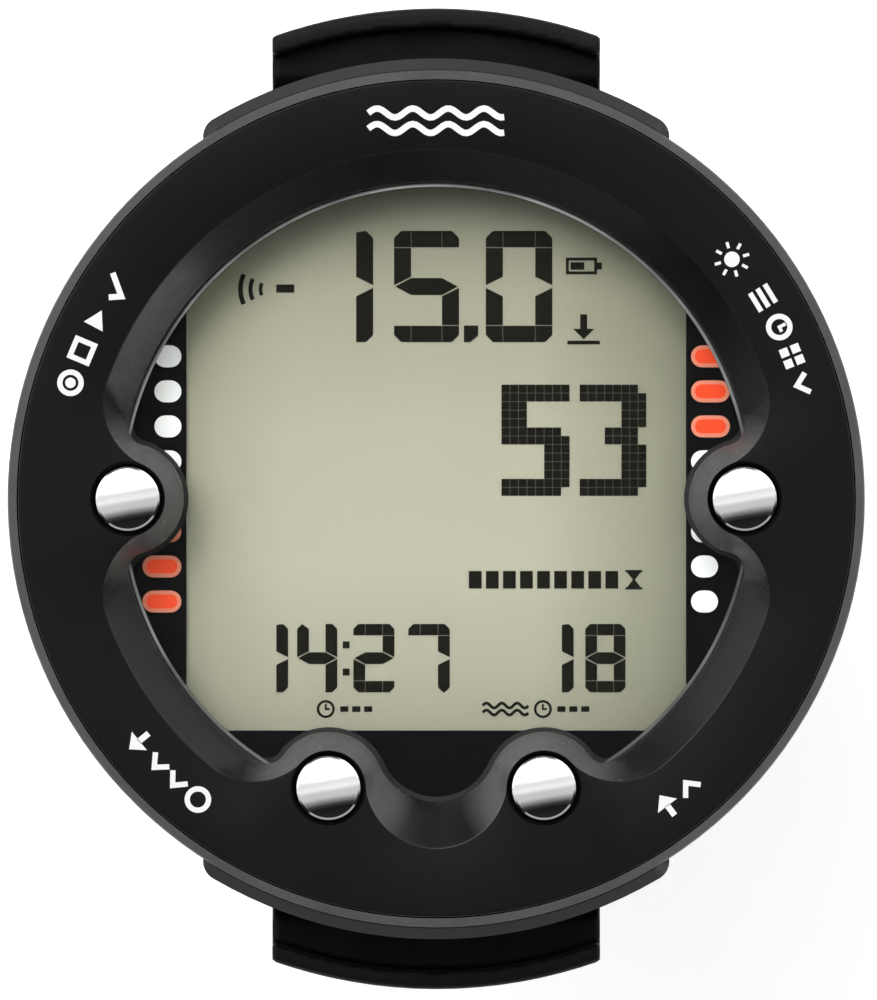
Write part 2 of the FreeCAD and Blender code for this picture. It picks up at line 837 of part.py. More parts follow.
def pressure_sensor():
    """Depth sensor over its port, with its O-ring and the vented cover outside."""
    can = turned(
        "sensor_can",
        [(0, 2.5), (2.9, 2.5), (2.9, 3.6), (2.3, 4.2), (2.3, 6.4), (0, 6.4)],
    )
    place_body(can, 0, -S.sensor_reach.value)
    sub_part(can, "pressure_sensor")
    sub_part(torus("sensor_ring", 2.5, 0.35, 0, -S.sensor_reach, 2.15), "sensor_oring")

    vent = cylinder("vent_disc", 3.3, 0.85, 0, -S.sensor_reach, 0.1)
    around = [(1.6 * math.cos(math.radians(60 * i)), 1.6 * math.sin(math.radians(60 * i)))
              for i in range(6)]
    holes = [
        cylinder(f"vent_hole_{i}", 0.45, 3.0, dx, dy - S.sensor_reach, -1.0)
        for i, (dx, dy) in enumerate([(0, 0)] + around)
    ]
    sub_part(cut("sensor_vent", vent, holes), "sensor_vent")


def sounder_and_contacts():
    """Piezo sounder, water contacts in the case wall, and the pins that reach the board."""
    disc = cylinder("sounder_disc", 7.0, 0.3, *SOUNDER_AT, 11.1)
    crystal = cylinder("sounder_crystal", 5.0, 0.25, *SOUNDER_AT, 11.4)
    sub_part(fuse("sounder", [disc, crystal]), "sounder")

    studs = [
        cylinder(f"contact_stud_{i}", 1.0, 5.6, -30.2, step, 10.0, V(0, 1, 0), 90)
        for i, step in enumerate(WATER_CONTACTS, start=1)
    ]
    sub_part(group("water_contacts", studs), "water_contacts")

    pins = [mid_box(f"contact_leaf_{i}", 0.4, 1.2, S.board_base - 11.0, -24.9, step, 11.0)
            for i, step in enumerate(WATER_CONTACTS, start=1)]
    pins += [
        cylinder(f"sensor_pin_{i}", 0.3, S.board_base - 6.4, dx, dy - S.sensor_reach, 6.4)
        for i, (dx, dy) in enumerate(((-0.9, -0.9), (0.9, -0.9), (-0.9, 0.9), (0.9, 0.9)), start=1)
    ]
    pins += [
        cylinder(f"sounder_pin_{i}", 0.4, S.board_base - base, SOUNDER_AT[0] + dx, SOUNDER_AT[1], base)
        for i, (dx, base) in enumerate(((0.0, 11.65), (6.0, 11.4)), start=1)
    ]
    foot = S.cell_base + S.cell_depth + 0.48
    pins.append(cylinder("negative_pin", 0.5, S.board_base - foot, *NEGATIVE_PIN, foot))
    sub_part(group("board_contacts", pins), "board_contacts")


def cell_parts():
    """Coin cell and the two contacts that touch it."""
    low, depth = S.cell_base, S.cell_depth
    cell = turned(
        "cell_can",
        [
            (0, low),
            (S.cell_radius - 0.5, low),
            (S.cell_radius, low + 0.5),
            (S.cell_radius, low + depth - 0.9),
            (S.cell_radius - 1.3, low + depth - 0.6),
            (S.cell_radius - 1.6, low + depth),
            (0, low + depth),
        ],
    )
    sub_part(cell, "coin_cell")

    plate = cylinder("negative_plate", 5.0, 0.2, z=low + depth + 0.28)
    cone = DOC.addObject("Part::Cone", "negative_cone")
    cone.Radius1, cone.Radius2, cone.Height = 1.6, 3.2, 0.28
    bind_place(cone, z=low + depth)
    sub_part(fuse("cell_contact_negative", [plate, cone]), "cell_contact_negative")

    tube = cut(
        "positive_tube",
        cylinder("positive_out", S.cell_radius + 0.3, S.board_base - low - 0.1, z=low + 0.1),
        [cylinder("positive_in", S.cell_radius + 0.05, 12.0, z=low - 1)],
    )
    strip = common("cell_contact_positive", tube, box("positive_width", 4.0, 5.0, 12.0, 10, -2.5, 3))
    sub_part(strip, "cell_contact_positive")


def battery_cap():
    """The bayonet cap over the cell, with its coin slot, and the O-ring in its groove."""
    base = 0.25
    disc = turned(
        "cap_disc",
        [
            (0, base),
            (S.cap_radius - 0.3, base),
            (S.cap_radius, base + 0.3),
            (S.cap_radius, 2.6),
            (S.cap_radius - 1.1, 2.6),
            (S.cap_radius - 1.1, 3.8),
            (S.cap_radius, 3.8),
            (S.cap_radius, S.cap_depth + base),
            (0, S.cap_depth + base),
        ],
    )
    radius = S.cap_radius.value + TAB_REACH
    tabs = [
        feature(f"cap_tab_{i}", sector(radius, 12.0, TAB_SPAN, place, TAB_LOW, TAB_LOW + TAB_DEPTH))
        for i, place in enumerate(TAB_PLACES, start=1)
    ]
    slot = mid_box("coin_slot", 20, 2.0, 1.5, 0, 0, -0.25)
    groove = cut(
        "cap_groove",
        cylinder("cap_groove_out", 12.6, 0.6),
        [cylinder("cap_groove_in", 12.0, 2.0, z=-0.5)],
    )
    sub_part(cut("battery_cap", fuse("cap_blank", [disc] + tabs), [slot, groove]), "battery_cap")
    sub_part(torus("cap_seal_ring", S.cap_radius - 0.5, 0.57, z=3.2), "battery_cap_oring")


# ---------------------------------------------------------------- buttons

STEM_END = 15.55
CLIP_LOW = 15.95
CLIP_DEPTH = 0.36
RING_GROOVE = 18.4
SPRING_WIRE = 0.16
SPRING_COIL = 1.95
SPRING_TURNS = 4


def button_cap(name):
    """The polished cap on its stem, grooved for the clip and the O-ring."""
    stem, neck = S.stem_radius, S.stem_radius - 0.45
    under = S.bezel_base - 0.85
    top = S.bezel_top + 0.45
    cap = turned(
        f"button_turning_{name}",
        [
            (0, STEM_END),
            (stem, STEM_END),
            (stem, CLIP_LOW),
            (stem - 0.3, CLIP_LOW),
            (stem - 0.3, CLIP_LOW + CLIP_DEPTH + 0.04),
            (stem, CLIP_LOW + CLIP_DEPTH + 0.04),
            (stem, RING_GROOVE),
            (neck, RING_GROOVE),
            (neck, RING_GROOVE + 0.9),
            (stem, RING_GROOVE + 0.9),
            (stem, under),
            (S.button_radius - 0.15, under),
            (S.button_radius, under + 0.15),
            (S.button_radius, top),
            (0, top),
        ],
    )
    dress(cap, "Fillet", 0.9, ring_edge(S.button_radius, top))
    return cap


def return_spring(name, x, y):
    """A wave spring round the stem: four wire turns, each joined to the next at one side."""
    low = S.spring_seat + SPRING_WIRE + 0.02
    pitch = (S.bezel_base - 0.85 - SPRING_WIRE - 0.02 - low) / (SPRING_TURNS - 1)
    pieces = []
    for turn in range(SPRING_TURNS):
        level = low + pitch * turn
        pieces.append(torus(f"turn_{name}_{turn}", SPRING_COIL, SPRING_WIRE, x, y, level))
        if turn < SPRING_TURNS - 1:
            side = SPRING_COIL * (-1) ** turn
            crest = cylinder(f"crest_{name}_{turn}", SPRING_WIRE * 0.8, pitch, x + side, y, level)
            pieces.append(crest)
    return fuse(f"spring_{name}", pieces)


def button_parts():
    """Each button: cap and stem, O-ring, retaining clip, return spring; and the guide bushes."""
    bushes = []
    for name, x, y in button_places():
        cap = button_cap(name)
        place_body(cap, number(x), number(y))
        sub_part(cap, f"button_{name}")

        ring = torus(f"stem_ring_{name}", S.stem_radius - 0.14, 0.3, x, y, RING_GROOVE + 0.45)
        sub_part(ring, f"button_{name}_oring")

        disc = cylinder(f"clip_disc_{name}", 1.6, CLIP_DEPTH, x, y, CLIP_LOW + 0.02)
        hole = cylinder(f"clip_hole_{name}", S.stem_radius - 0.28, 1.0, x, y, CLIP_LOW - 0.3)
        gap = box(f"clip_gap_{name}", 2.0, 0.9, 1.0, x, y - 0.45, CLIP_LOW - 0.3)
        sub_part(cut(f"clip_{name}", disc, [hole, gap]), f"button_{name}_clip")

        sub_part(return_spring(name, x, y), f"button_{name}_spring")

        base = S.boss_base + 0.15
        tube = cylinder(f"bush_tube_{name}", S.bush_radius, S.spring_seat - base, x, y, base)
        bore = cylinder(f"bush_inside_{name}", S.stem_radius + 0.06, 9.0, x, y, 15)
        gland = cylinder(f"bush_gland_{name}", S.stem_radius + 0.2, 2.4, x, y, 17.2)
        bushes.append(cut(f"bush_{name}", tube, [bore, gland]))
    sub_part(group("button_bushes", bushes), "button_bushes")


# ---------------------------------------------------------------- strap

# Each run of a strap path is a length and the turn over it, in degrees.
STRAP_START = (35.6, 7.0)
STRAP_HEADING = -90.0
BUCKLE_RUNS = [(13.0, 0), (30.5, -25), (27.2, -65), (22.0, 0)]
TAIL_RUNS = [(8.5, 0), (30.5, -25), (23.8, -65), (17.3, 0), (20.1, -65), (27.8, -25)]
CROWN = 0.5
SLOT_COUNT = 8
SLOT_PITCH = 6.2


def walk(runs):
    """Edges of a strap's middle line in the YZ plane: straights and tangent arcs."""
    edges = []
    point, angle = V(0, *STRAP_START), STRAP_HEADING
    for length, turn in runs:
        ahead = V(0, math.cos(math.radians(angle)), math.sin(math.radians(angle)))
        if turn == 0:
            end = point + ahead * length
            edges.append(Part.makeLine(point, end))
        else:
            radius = length / math.radians(turn)
            centre = point + V(0, -ahead.z, ahead.y) * radius
            middle = about_x(point, centre, turn / 2)
            end = about_x(point, centre, turn)
            edges.append(Part.Arc(point, middle, end).toShape())
        point, angle = end, angle + turn
    return edges


def about_x(point, centre, degrees):
    """A point turned about a line along X."""
    return centre + FreeCAD.Rotation(V(1, 0, 0), degrees).multVec(point - centre)


def station(edges, distance):
    """The point and the direction at a distance along a path."""
    for edge in edges:
        if distance <= edge.Length or edge is edges[-1]:
            at = edge.getParameterByLength(min(distance, edge.Length))
            return edge.valueAt(at), edge.tangentAt(at)
        distance -= edge.Length


def outward(ahead):
    """The direction away from the wrist for a heading along the strap."""
    return V(1, 0, 0).cross(ahead)


def band(edges):
    """A strap band swept along its path: flat inside, crowned outside, with rounded sides."""
    start, ahead = station(edges, 0)
    out = outward(ahead)
    half, deep = S.strap_width.value / 2, S.strap_thickness.value / 2

    def p(x, n):
        return start + V(x, 0, 0) + out * n

    flat, side = half - 0.6, -CROWN / 2
    profile = Part.Wire(
        [
            Part.makeLine(p(-flat, -deep), p(flat, -deep)),
            Part.Arc(p(flat, -deep), p(half, side), p(flat, deep - CROWN)).toShape(),
            Part.Arc(p(flat, deep - CROWN), p(0, deep), p(-flat, deep - CROWN)).toShape(),
            Part.Arc(p(-flat, deep - CROWN), p(-half, side), p(-flat, -deep)).toShape(),
        ]
    )
    return Part.Wire(edges).makePipeShell([profile], True, False)


def strap_root():
    """The moulded root of a strap half: barrel, web and the curved ridge, at 12 o'clock."""
    reach, height = S.lug_pin_reach.value, S.lug_pin_height.value
    half = S.strap_root_width.value / 2
    floor, low = height + 3.3, height - 6.0
    radius = S.barrel_radius.value
    outer, inner, top = S.ridge_outer.value, S.ridge_inner.value, S.ridge_top.value
    barrel = Part.makeCylinder(radius, 2 * half, V(-half, reach, height), V(1, 0, 0))
    web = Part.makePolygon(
        [
            V(-half, reach - 0.4, height - radius + 0.04),
            V(-half, outer, height - 8.5),
            V(-half, outer, floor),
            V(-half, reach + 4.2, floor),
            V(-half, reach + 3.0, height + radius - 0.04),
            V(-half, reach + 0.4, height + radius - 0.04),
            V(-half, reach - 0.4, height - radius + 0.04),
        ]
    )
    web = Part.Face(web).extrude(V(2 * half, 0, 0))
    web = web.common(Part.makeCylinder(outer - 0.1, 60, V(0, 0, -30)))
    disc = Part.makeCylinder(outer, top - low, V(0, 0, low))
    disc = disc.makeFillet(0.5, [e for e in disc.Edges if ring_edge(outer, top)(e)])
    hollow = Part.makeCylinder(inner, 4.0, V(0, 0, floor))
    core = Part.makeCylinder(outer - 3.2, 40, V(0, 0, -5))
    slab = Part.makeBox(2 * half, 14, 40, V(-half, 30, -5))
    return barrel.fuse([web, disc.cut([hollow, core]).common(slab)])


def strap_bore():
    """The running bore for the spring bar."""
    half = S.strap_root_width.value / 2 + 1
    radius = S.lug_pin_radius.value + 0.05
    return Part.makeCylinder(
        radius, 2 * half, V(-half, S.lug_pin_reach.value, S.lug_pin_height.value), V(1, 0, 0)
    )


def flex_grooves(path):
    """Shallow grooves across the outside of the band below its root, where it flexes."""
    reach = S.strap_width.value / 2 + 2
    grooves = []
    for i in range(5):
        at, ahead = station(path, 13.0 + 4.2 * i)
        centre = at + outward(ahead) * (S.strap_thickness.value / 2 + 0.5)
        grooves.append(Part.makeCylinder(1.25, 2 * reach, centre - V(reach, 0, 0), V(1, 0, 0)))
    return grooves


def set_on_strap(shape, at, ahead):
    """Moves a shape made at the origin, Y ahead and Z outward, to a point on a strap."""
    out = outward(ahead)
    across = ahead.cross(out)
    turn = FreeCAD.Matrix(
        across.x, ahead.x, out.x, at.x,
        across.y, ahead.y, out.y, at.y,
        across.z, ahead.z, out.z, at.z,
        0, 0, 0, 1,
    )
    moved = shape.copy()
    moved.Placement = FreeCAD.Placement(turn).multiply(shape.Placement)
    return moved


def slot_prism(width, length, depth):
    """A stadium-shaped prism, long across the strap, centred on the origin."""
    run = (length - width) / 2
    ends = [Part.makeCylinder(width / 2, depth, V(s * run, 0, -depth / 2)) for s in (-1, 1)]
    return Part.makeBox(2 * run, width, depth, V(-run, -width / 2, -depth / 2)).fuse(ends)


def strap_buckle_half():
    """The short half at 12 o'clock, ending in a knuckle for the buckle pin."""
    path = walk(BUCKLE_RUNS)
    at, ahead = knuckle_place()
    reach = S.strap_width.value / 2
    knuckle = Part.makeCylinder(1.95, 2 * reach - 1.2, at - V(reach - 0.6, 0, 0), V(1, 0, 0))
    bore = Part.makeCylinder(0.85, 2 * reach + 2, at - V(reach + 1, 0, 0), V(1, 0, 0))
    tongue_gap = set_on_strap(Part.makeBox(3.2, 10, 8, V(-1.6, -4.2, -4)), at, ahead)
    half = band(path).fuse([strap_root(), knuckle])
    half = half.cut([bore, tongue_gap, strap_bore()] + flex_grooves(path))
    return sub_part(feature("strap_buckle_half", half.removeSplitter()), "strap_buckle_half")


def strap_tail_half():
    """The long half at 6 o'clock, with its slots and round tip, curled inside the other."""
    path = walk(TAIL_RUNS)
    total = sum(edge.Length for edge in path)
    width = S.strap_width.value
    slots = [
        set_on_strap(slot_prism(2.6, 4.4, 8.0), *station(path, total - 14.0 - SLOT_PITCH * i))
        for i in range(SLOT_COUNT)
    ]
    tip = Part.makeBox(width + 4, width, 12, V(-width / 2 - 2, 0, -6))
    tip = tip.cut(Part.makeCylinder(width / 2 - 0.05, 12, V(0, 0, -6)))
    tip = set_on_strap(tip, *station(path, total - width / 2))
    half = band(path).fuse(strap_root()).cut([strap_bore(), tip] + slots + flex_grooves(path))
    half = half.removeSplitter().mirror(V(0, 0, 0), V(0, 1, 0))
    return sub_part(feature("strap_tail_half", half), "strap_tail_half")


def knuckle_place():
    """The axis point and heading of the buckle hinge, just past the end of the short half."""
    end, ahead = station(walk(BUCKLE_RUNS), math.inf)
    return end + ahead * 0.6, ahead


def spring_bars():
    """Two spring bars: a tube with a thin tip at each end that enters the lug."""
    for side, name in ((1, "top"), (-1, "bottom")):
        tube_length, tip_length = S.lug_gap - 0.4, S.lug_gap + 5.1
        place = (S.lug_pin_reach * side, S.lug_pin_height, V(0, 1, 0), 90)
        tube = cylinder(f"bar_tube_{name}", S.lug_pin_radius, tube_length, -(tube_length / 2), *place)
        tips = cylinder(f"bar_tips_{name}", 0.5, tip_length, -(tip_length / 2), *place)
        sub_part(fuse(f"spring_bar_{name}", [tube, tips]), f"spring_bar_{name}")


FRAME_ROD = 2.2
FRAME_REACH = 15.0
FRAME_DEPTH = 2.6


def buckle():
    """Frame, pin and tongue, made flat at the origin and set at the end of the short half."""
    at, ahead = knuckle_place()
    inner = S.strap_width.value / 2 + 0.5
    outer = inner + FRAME_ROD
    frame = Part.makeBox(2 * outer, FRAME_REACH + 1.4, FRAME_DEPTH, V(-outer, -1.4, -FRAME_DEPTH / 2))
    frame = frame.makeFillet(1.0, frame.Edges)
    hollow = Part.makeBox(2 * inner, FRAME_REACH + 0.4, 6, V(-inner, -3, -3))
    pin_bore = Part.makeCylinder(0.82, 60, V(-30, 0, 0), V(1, 0, 0))
    notch = Part.makeBox(2.4, 8, 2, V(-1.2, FRAME_REACH - 4.5, 0.9))
    frame = frame.cut([hollow, pin_bore, notch])
    sub_part(feature("buckle_frame", set_on_strap(frame, at, ahead)), "buckle_frame")

    pin = Part.makeCylinder(0.78, 2 * outer - 0.8, V(0.4 - outer, 0, 0), V(1, 0, 0))
    sub_part(feature("buckle_pin", set_on_strap(pin, at, ahead)), "buckle_pin")

    eye = Part.makeCylinder(1.5, 2.6, V(-1.3, 0, 0), V(1, 0, 0))
    arm = Part.makeBox(2.2, FRAME_REACH - 0.7, 1.3, V(-1.1, 0, 0.95))
    arm = arm.makeFillet(0.35, arm.Edges)
    tongue = eye.fuse(arm).cut(Part.makeCylinder(0.83, 6, V(-3, 0, 0), V(1, 0, 0)))
    sub_part(feature("buckle_tongue", set_on_strap(tongue, at, ahead)), "buckle_tongue")


KEEPER_WALL = 1.3
KEEPER_LENGTH = 5.0
KEEPER_AIR = 0.25
KEEPER_SPARE = 1.4
KEEPERS = (("fixed", 6.5), ("sliding", 15.0))


def keepers():
    """Two loops round the short half, with room outside it for the tail."""
    path = walk(BUCKLE_RUNS)
    total = sum(edge.Length for edge in path)
    half, thick = S.strap_width.value / 2 + KEEPER_AIR, S.strap_thickness.value
    low, depth = -thick / 2 - KEEPER_AIR, 2 * thick + KEEPER_SPARE
    wall, long = KEEPER_WALL, KEEPER_LENGTH
    room = Part.makeBox(2 * half, long + 2, depth, V(-half, -long / 2 - 1, low))
    skin = Part.makeBox(
        2 * (half + wall), long, depth + 2 * wall, V(-half - wall, -long / 2, low - wall)
    )
    skin = skin.makeFillet(1.0, [e for e in skin.Edges if e.BoundBox.YLength > long - 0.1])
    for name, back in KEEPERS:
        loop = set_on_strap(skin.cut(room), *station(path, total - back))
        sub_part(feature(f"keeper_{name}", loop), f"keeper_{name}")


# ---------------------------------------------------------------- build, check and write


def check():
    """Stops the build if any object failed, or a sub-part is not one or more valid solids."""
    for obj in DOC.Objects:
        if "Invalid" in obj.State or "Error" in obj.State:
            raise RuntimeError(f"{obj.Label} failed: {obj.State}")
    for obj in SUB_PARTS:
        shape = obj.Shape
        if shape.isNull() or not shape.isValid() or not shape.Solids:
            raise RuntimeError(f"{obj.Label} is not a valid solid")


def write():
    """Writes each sub-part to its own STEP file and prints what it holds."""
    os.makedirs("parts", exist_ok=True)
    for obj in SUB_PARTS:
        obj.Shape.exportStep(os.path.join("parts", obj.Label + ".step"))
        print(f"{obj.Label}: {len(obj.Shape.Solids)} solid(s), {obj.Shape.Volume:.1f} mm3")


rear_case()
front_frame()
bezel()
case_screws()
lens()
lens_gasket()
case_seal()
display_mask()
display_marks()
display_stack()
circuit_board()
pressure_sensor()
sounder_and_contacts()
cell_parts()
battery_cap()
button_parts()
spring_bars()
strap_buckle_half()
strap_tail_half()
buckle()
keepers()
DOC.recompute()
check()
write()
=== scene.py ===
"""The looks of the dive computer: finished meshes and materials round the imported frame."""

import math

import bmesh
import bpy
import numpy as np
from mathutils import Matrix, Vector
from mathutils.geometry import delaunay_2d_cdt, tessellate_polygon


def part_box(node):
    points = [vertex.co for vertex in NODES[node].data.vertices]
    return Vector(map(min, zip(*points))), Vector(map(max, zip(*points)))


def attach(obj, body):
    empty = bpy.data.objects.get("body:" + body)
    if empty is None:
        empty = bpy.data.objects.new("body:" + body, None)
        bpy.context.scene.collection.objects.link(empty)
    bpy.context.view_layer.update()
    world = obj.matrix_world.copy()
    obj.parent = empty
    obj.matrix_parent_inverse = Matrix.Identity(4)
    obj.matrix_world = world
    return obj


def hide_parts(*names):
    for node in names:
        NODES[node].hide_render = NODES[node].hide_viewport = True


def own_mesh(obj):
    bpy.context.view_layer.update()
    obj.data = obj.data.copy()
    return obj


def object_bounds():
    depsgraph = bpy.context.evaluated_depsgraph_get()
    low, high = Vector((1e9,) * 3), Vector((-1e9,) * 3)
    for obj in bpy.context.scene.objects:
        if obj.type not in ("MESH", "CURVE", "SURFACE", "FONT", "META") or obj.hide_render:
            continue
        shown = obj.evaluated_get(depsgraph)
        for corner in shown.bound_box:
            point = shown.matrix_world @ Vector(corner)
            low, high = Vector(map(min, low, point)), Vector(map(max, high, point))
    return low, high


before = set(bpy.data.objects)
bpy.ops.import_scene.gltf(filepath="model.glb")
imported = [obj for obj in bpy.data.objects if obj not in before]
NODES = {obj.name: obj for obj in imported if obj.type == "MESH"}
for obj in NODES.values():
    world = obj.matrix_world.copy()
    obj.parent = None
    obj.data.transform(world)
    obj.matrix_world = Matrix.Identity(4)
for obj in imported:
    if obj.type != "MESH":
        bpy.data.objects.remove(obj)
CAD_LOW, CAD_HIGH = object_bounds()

MM = 0.001

# Lengths below are in millimetres, in the frame of the CAD, unless MM stands beside them.
BUTTON_CIRCLE = 24.53
BUTTON_SPREAD = 20.45
LOW_X = BUTTON_CIRCLE * math.sin(math.radians(BUTTON_SPREAD))
LOW_Y = -BUTTON_CIRCLE * math.cos(math.radians(BUTTON_SPREAD))
BUTTONS = {
    "left": (-BUTTON_CIRCLE, 0.0),
    "right": (BUTTON_CIRCLE, 0.0),
    "low_left": (-LOW_X, LOW_Y),
    "low_right": (LOW_X, LOW_Y),
}


# ---------------------------------------------------------------- materials


def fill_ramp(ramp, stops):
    """Sets a colour ramp's stops, given as positions from 0 to 1 with a grey level or a colour."""
    ends = {0: 0, len(stops) - 1: -1}
    for i, (at, colour) in enumerate(stops):
        element = ramp.elements[ends[i]] if i in ends else ramp.elements.new(at)
        element.position = at
        element.color = (*colour, 1) if isinstance(colour, tuple) else (colour, colour, colour, 1)


class Finish:
    """A material with one Principled shader and a few helpers for its texture nodes."""

    def __init__(self, name, colour, rough, metal=0.0, specular=0.5):
        self.material = bpy.data.materials.new(name)
        self.material.use_nodes = True
        self.tree = self.material.node_tree
        self.shader = self.tree.nodes["Principled BSDF"]
        self.output = self.tree.nodes["Material Output"]
        self.colour = colour
        self.rough = rough
        self.height = None
        self.set("Base Color", (*colour, 1))
        self.set("Roughness", rough)
        self.set("Metallic", metal)
        self.set("Specular IOR Level", specular)
        self.place = self.tree.nodes.new("ShaderNodeTexCoord").outputs["Object"]

    def set(self, socket, value):
        """Sets one socket of the shader to a fixed value."""
        self.shader.inputs[socket].default_value = value
        return self

    def link(self, a, b):
        self.tree.links.new(a, b)

    def stretched(self, x, y, z):
        """Object coordinates scaled unevenly, for grain that runs one way."""
        node = self.tree.nodes.new("ShaderNodeMapping")
        node.inputs["Scale"].default_value = (x, y, z)
        self.link(self.place, node.inputs["Vector"])
        return node.outputs["Vector"]

    def noise(self, size, detail=2.0, place=None):
        """Noise whose features are about size metres across."""
        node = self.tree.nodes.new("ShaderNodeTexNoise")
        node.inputs["Scale"].default_value = 1.0 / size
        node.inputs["Detail"].default_value = detail
        self.link(place or self.place, node.inputs["Vector"])
        return node.outputs["Fac"]

    def cells(self, size):
        """Distance to the nearest point of a random lattice, its cells about size metres."""
        node = self.tree.nodes.new("ShaderNodeTexVoronoi")
        node.inputs["Scale"].default_value = 1.0 / size
        self.link(self.place, node.inputs["Vector"])
        return node.outputs["Distance"]

    def axis(self, name):
        """One object coordinate: X, Y or Z."""
        node = self.tree.nodes.new("ShaderNodeSeparateXYZ")
        self.link(self.place, node.inputs[0])
        return node.outputs[name]

    def ranged(self, value, low, high, start=0.3, end=0.7):
        """A value from start to end stretched to run from low to high, and held there."""
        node = self.tree.nodes.new("ShaderNodeMapRange")
        node.inputs["From Min"].default_value = start
        node.inputs["From Max"].default_value = end
        node.inputs["To Min"].default_value = low
        node.inputs["To Max"].default_value = high
        self.link(value, node.inputs["Value"])
        return node.outputs["Result"]

    def ramp(self, value, stops):
        """Colours along a value that runs from 0 to 1."""
        node = self.tree.nodes.new("ShaderNodeValToRGB")
        fill_ramp(node.color_ramp, stops)
        self.link(value, node.inputs[0])
        return node.outputs[0]

    def paint(self, share, first, second, kind="MIX"):
        """The surface colour: first, changed by a share of second. Each is fixed or a socket."""
        node = self.tree.nodes.new("ShaderNodeMix")
        node.data_type = "RGBA"
        node.blend_type = kind
        for socket, value in ((0, share), (6, first), (7, second)):
            if isinstance(value, bpy.types.NodeSocket):
                self.link(value, node.inputs[socket])
            else:
                node.inputs[socket].default_value = value
        self.link(node.outputs[2], self.shader.inputs["Base Color"])
        return self

    def painted(self):
        """The socket that gives the surface colour so far."""
        return self.shader.inputs["Base Color"].links[0].from_socket

    def mottle(self, size, spread, detail=3.0, place=None):
        """Colour that varies a little from place to place."""
        dark = [c * (1 - spread) for c in self.colour]
        light = [min(c * (1 + spread), 1.0) for c in self.colour]
        share = self.ranged(self.noise(size, detail, place), 0, 1)
        return self.paint(share, (*dark, 1), (*light, 1))

    def uneven(self, size, spread, detail=3.0, place=None):
        """Roughness that varies from place to place."""
        value = self.noise(size, detail, place)
        low, high = max(self.rough - spread, 0.02), min(self.rough + spread, 1.0)
        self.link(self.ranged(value, low, high), self.shader.inputs["Roughness"])
        return self

    def bump(self, value, depth, strength=1.0):
        """Surface relief of a real depth in metres; several calls stack."""
        node = self.tree.nodes.new("ShaderNodeBump")
        node.inputs["Strength"].default_value = strength
        node.inputs["Distance"].default_value = depth
        self.link(value, node.inputs["Height"])
        if self.height is not None:
            self.link(self.height, node.inputs["Normal"])
        self.height = node.outputs["Normal"]
        self.link(self.height, self.shader.inputs["Normal"])
        return self


def moulded(name, colour, rough, specular=0.35, depth=0.000012, grain=0.00032, spread=0.1):
    """Moulded plastic with a spark-eroded texture and slight marks of handling."""
    f = Finish(name, colour, rough, specular=specular)
    f.mottle(0.006, spread)
    f.uneven(0.004, 0.06)
    f.bump(f.noise(grain, 3.0), depth)
    f.bump(f.noise(0.007, 1.0), 0.00002, 0.4)
    return f


def metal(name, colour, rough, brushed=False):
    """Metal: polished with faint turning marks, or brushed along X."""
    f = Finish(name, colour, rough, metal=1.0)
    if brushed:
        lines = f.stretched(0.06, 1.0, 1.0)
        f.mottle(0.00025, 0.12, 4.0, lines)
        f.uneven(0.0002, 0.07, 3.0, lines)
        f.bump(f.noise(0.00018, 3.0, lines), 0.000006)
    else:
        f.mottle(0.002, 0.03)
        f.uneven(0.0012, rough * 0.4)
        f.bump(f.noise(0.0006, 2.0), 0.0000015)
    return f


def rubber(name, colour, rough=0.6, grain=0.0003, depth=0.00002):
    """Moulded elastomer: fine stipple, a soft bloom and a faint sheen."""
    f = Finish(name, colour, rough, specular=0.3)
    f.mottle(0.009, 0.16)
    f.uneven(0.005, 0.08)
    f.bump(f.cells(grain), depth, 0.6)
    f.bump(f.noise(0.003, 2.0), 0.00003, 0.4)
    f.set("Sheen Weight", 0.02)
    f.set("Sheen Roughness", 0.5)
    return f


def strap_finish_with_painted_shade():
    """Black elastomer with painted shade by height: deep black in the trough behind the ridge, less
    darkened on top of it.
    """
    f = rubber("strap_rubber", (0.011, 0.011, 0.0115), 0.5)
    f.set("Specular IOR Level", 0.14)
    # painted shade: the colour is multiplied by a ramp over height, down to 0.14 in the trough and
    # 0.5 to 0.6 on the ridge top
    height = f.ranged(f.axis("Z"), 0, 1, 4.0 * MM, 13.5 * MM)
    levels = [(0.0, 1.0), (0.45, 0.9), (0.62, 0.14), (0.8, 0.14), (0.93, 0.5), (1.0, 0.6)]
    return f.paint(1.0, f.painted(), f.ramp(height, levels), "MULTIPLY")


def wall_finish_with_painted_light():
    """The window's sloping wall: glossy and near black, with painted light that makes it paler
    beside the buttons.
    """
    f = moulded("wall_polymer", (0.0075, 0.0078, 0.0086), 0.26, 0.3, 0.000005)
    nearest = None
    for x, y in BUTTONS.values():
        gap = f.tree.nodes.new("ShaderNodeVectorMath")
        gap.operation = "DISTANCE"
        gap.inputs[1].default_value = (x * MM, y * MM, 26.5 * MM)
        f.link(f.place, gap.inputs[0])
        if nearest is None:
            nearest = gap.outputs["Value"]
            continue
        least = f.tree.nodes.new("ShaderNodeMath")
        least.operation = "MINIMUM"
        f.link(nearest, least.inputs[0])
        f.link(gap.outputs["Value"], least.inputs[1])
        nearest = least.outputs[0]
    # painted light: the wall is painted paler grey within about 4 to 7 mm of each button
    share = f.ranged(nearest, 1, 0, 3.8 * MM, 6.9 * MM)
    return f.paint(share, f.painted(), (0.1, 0.1, 0.102, 1))


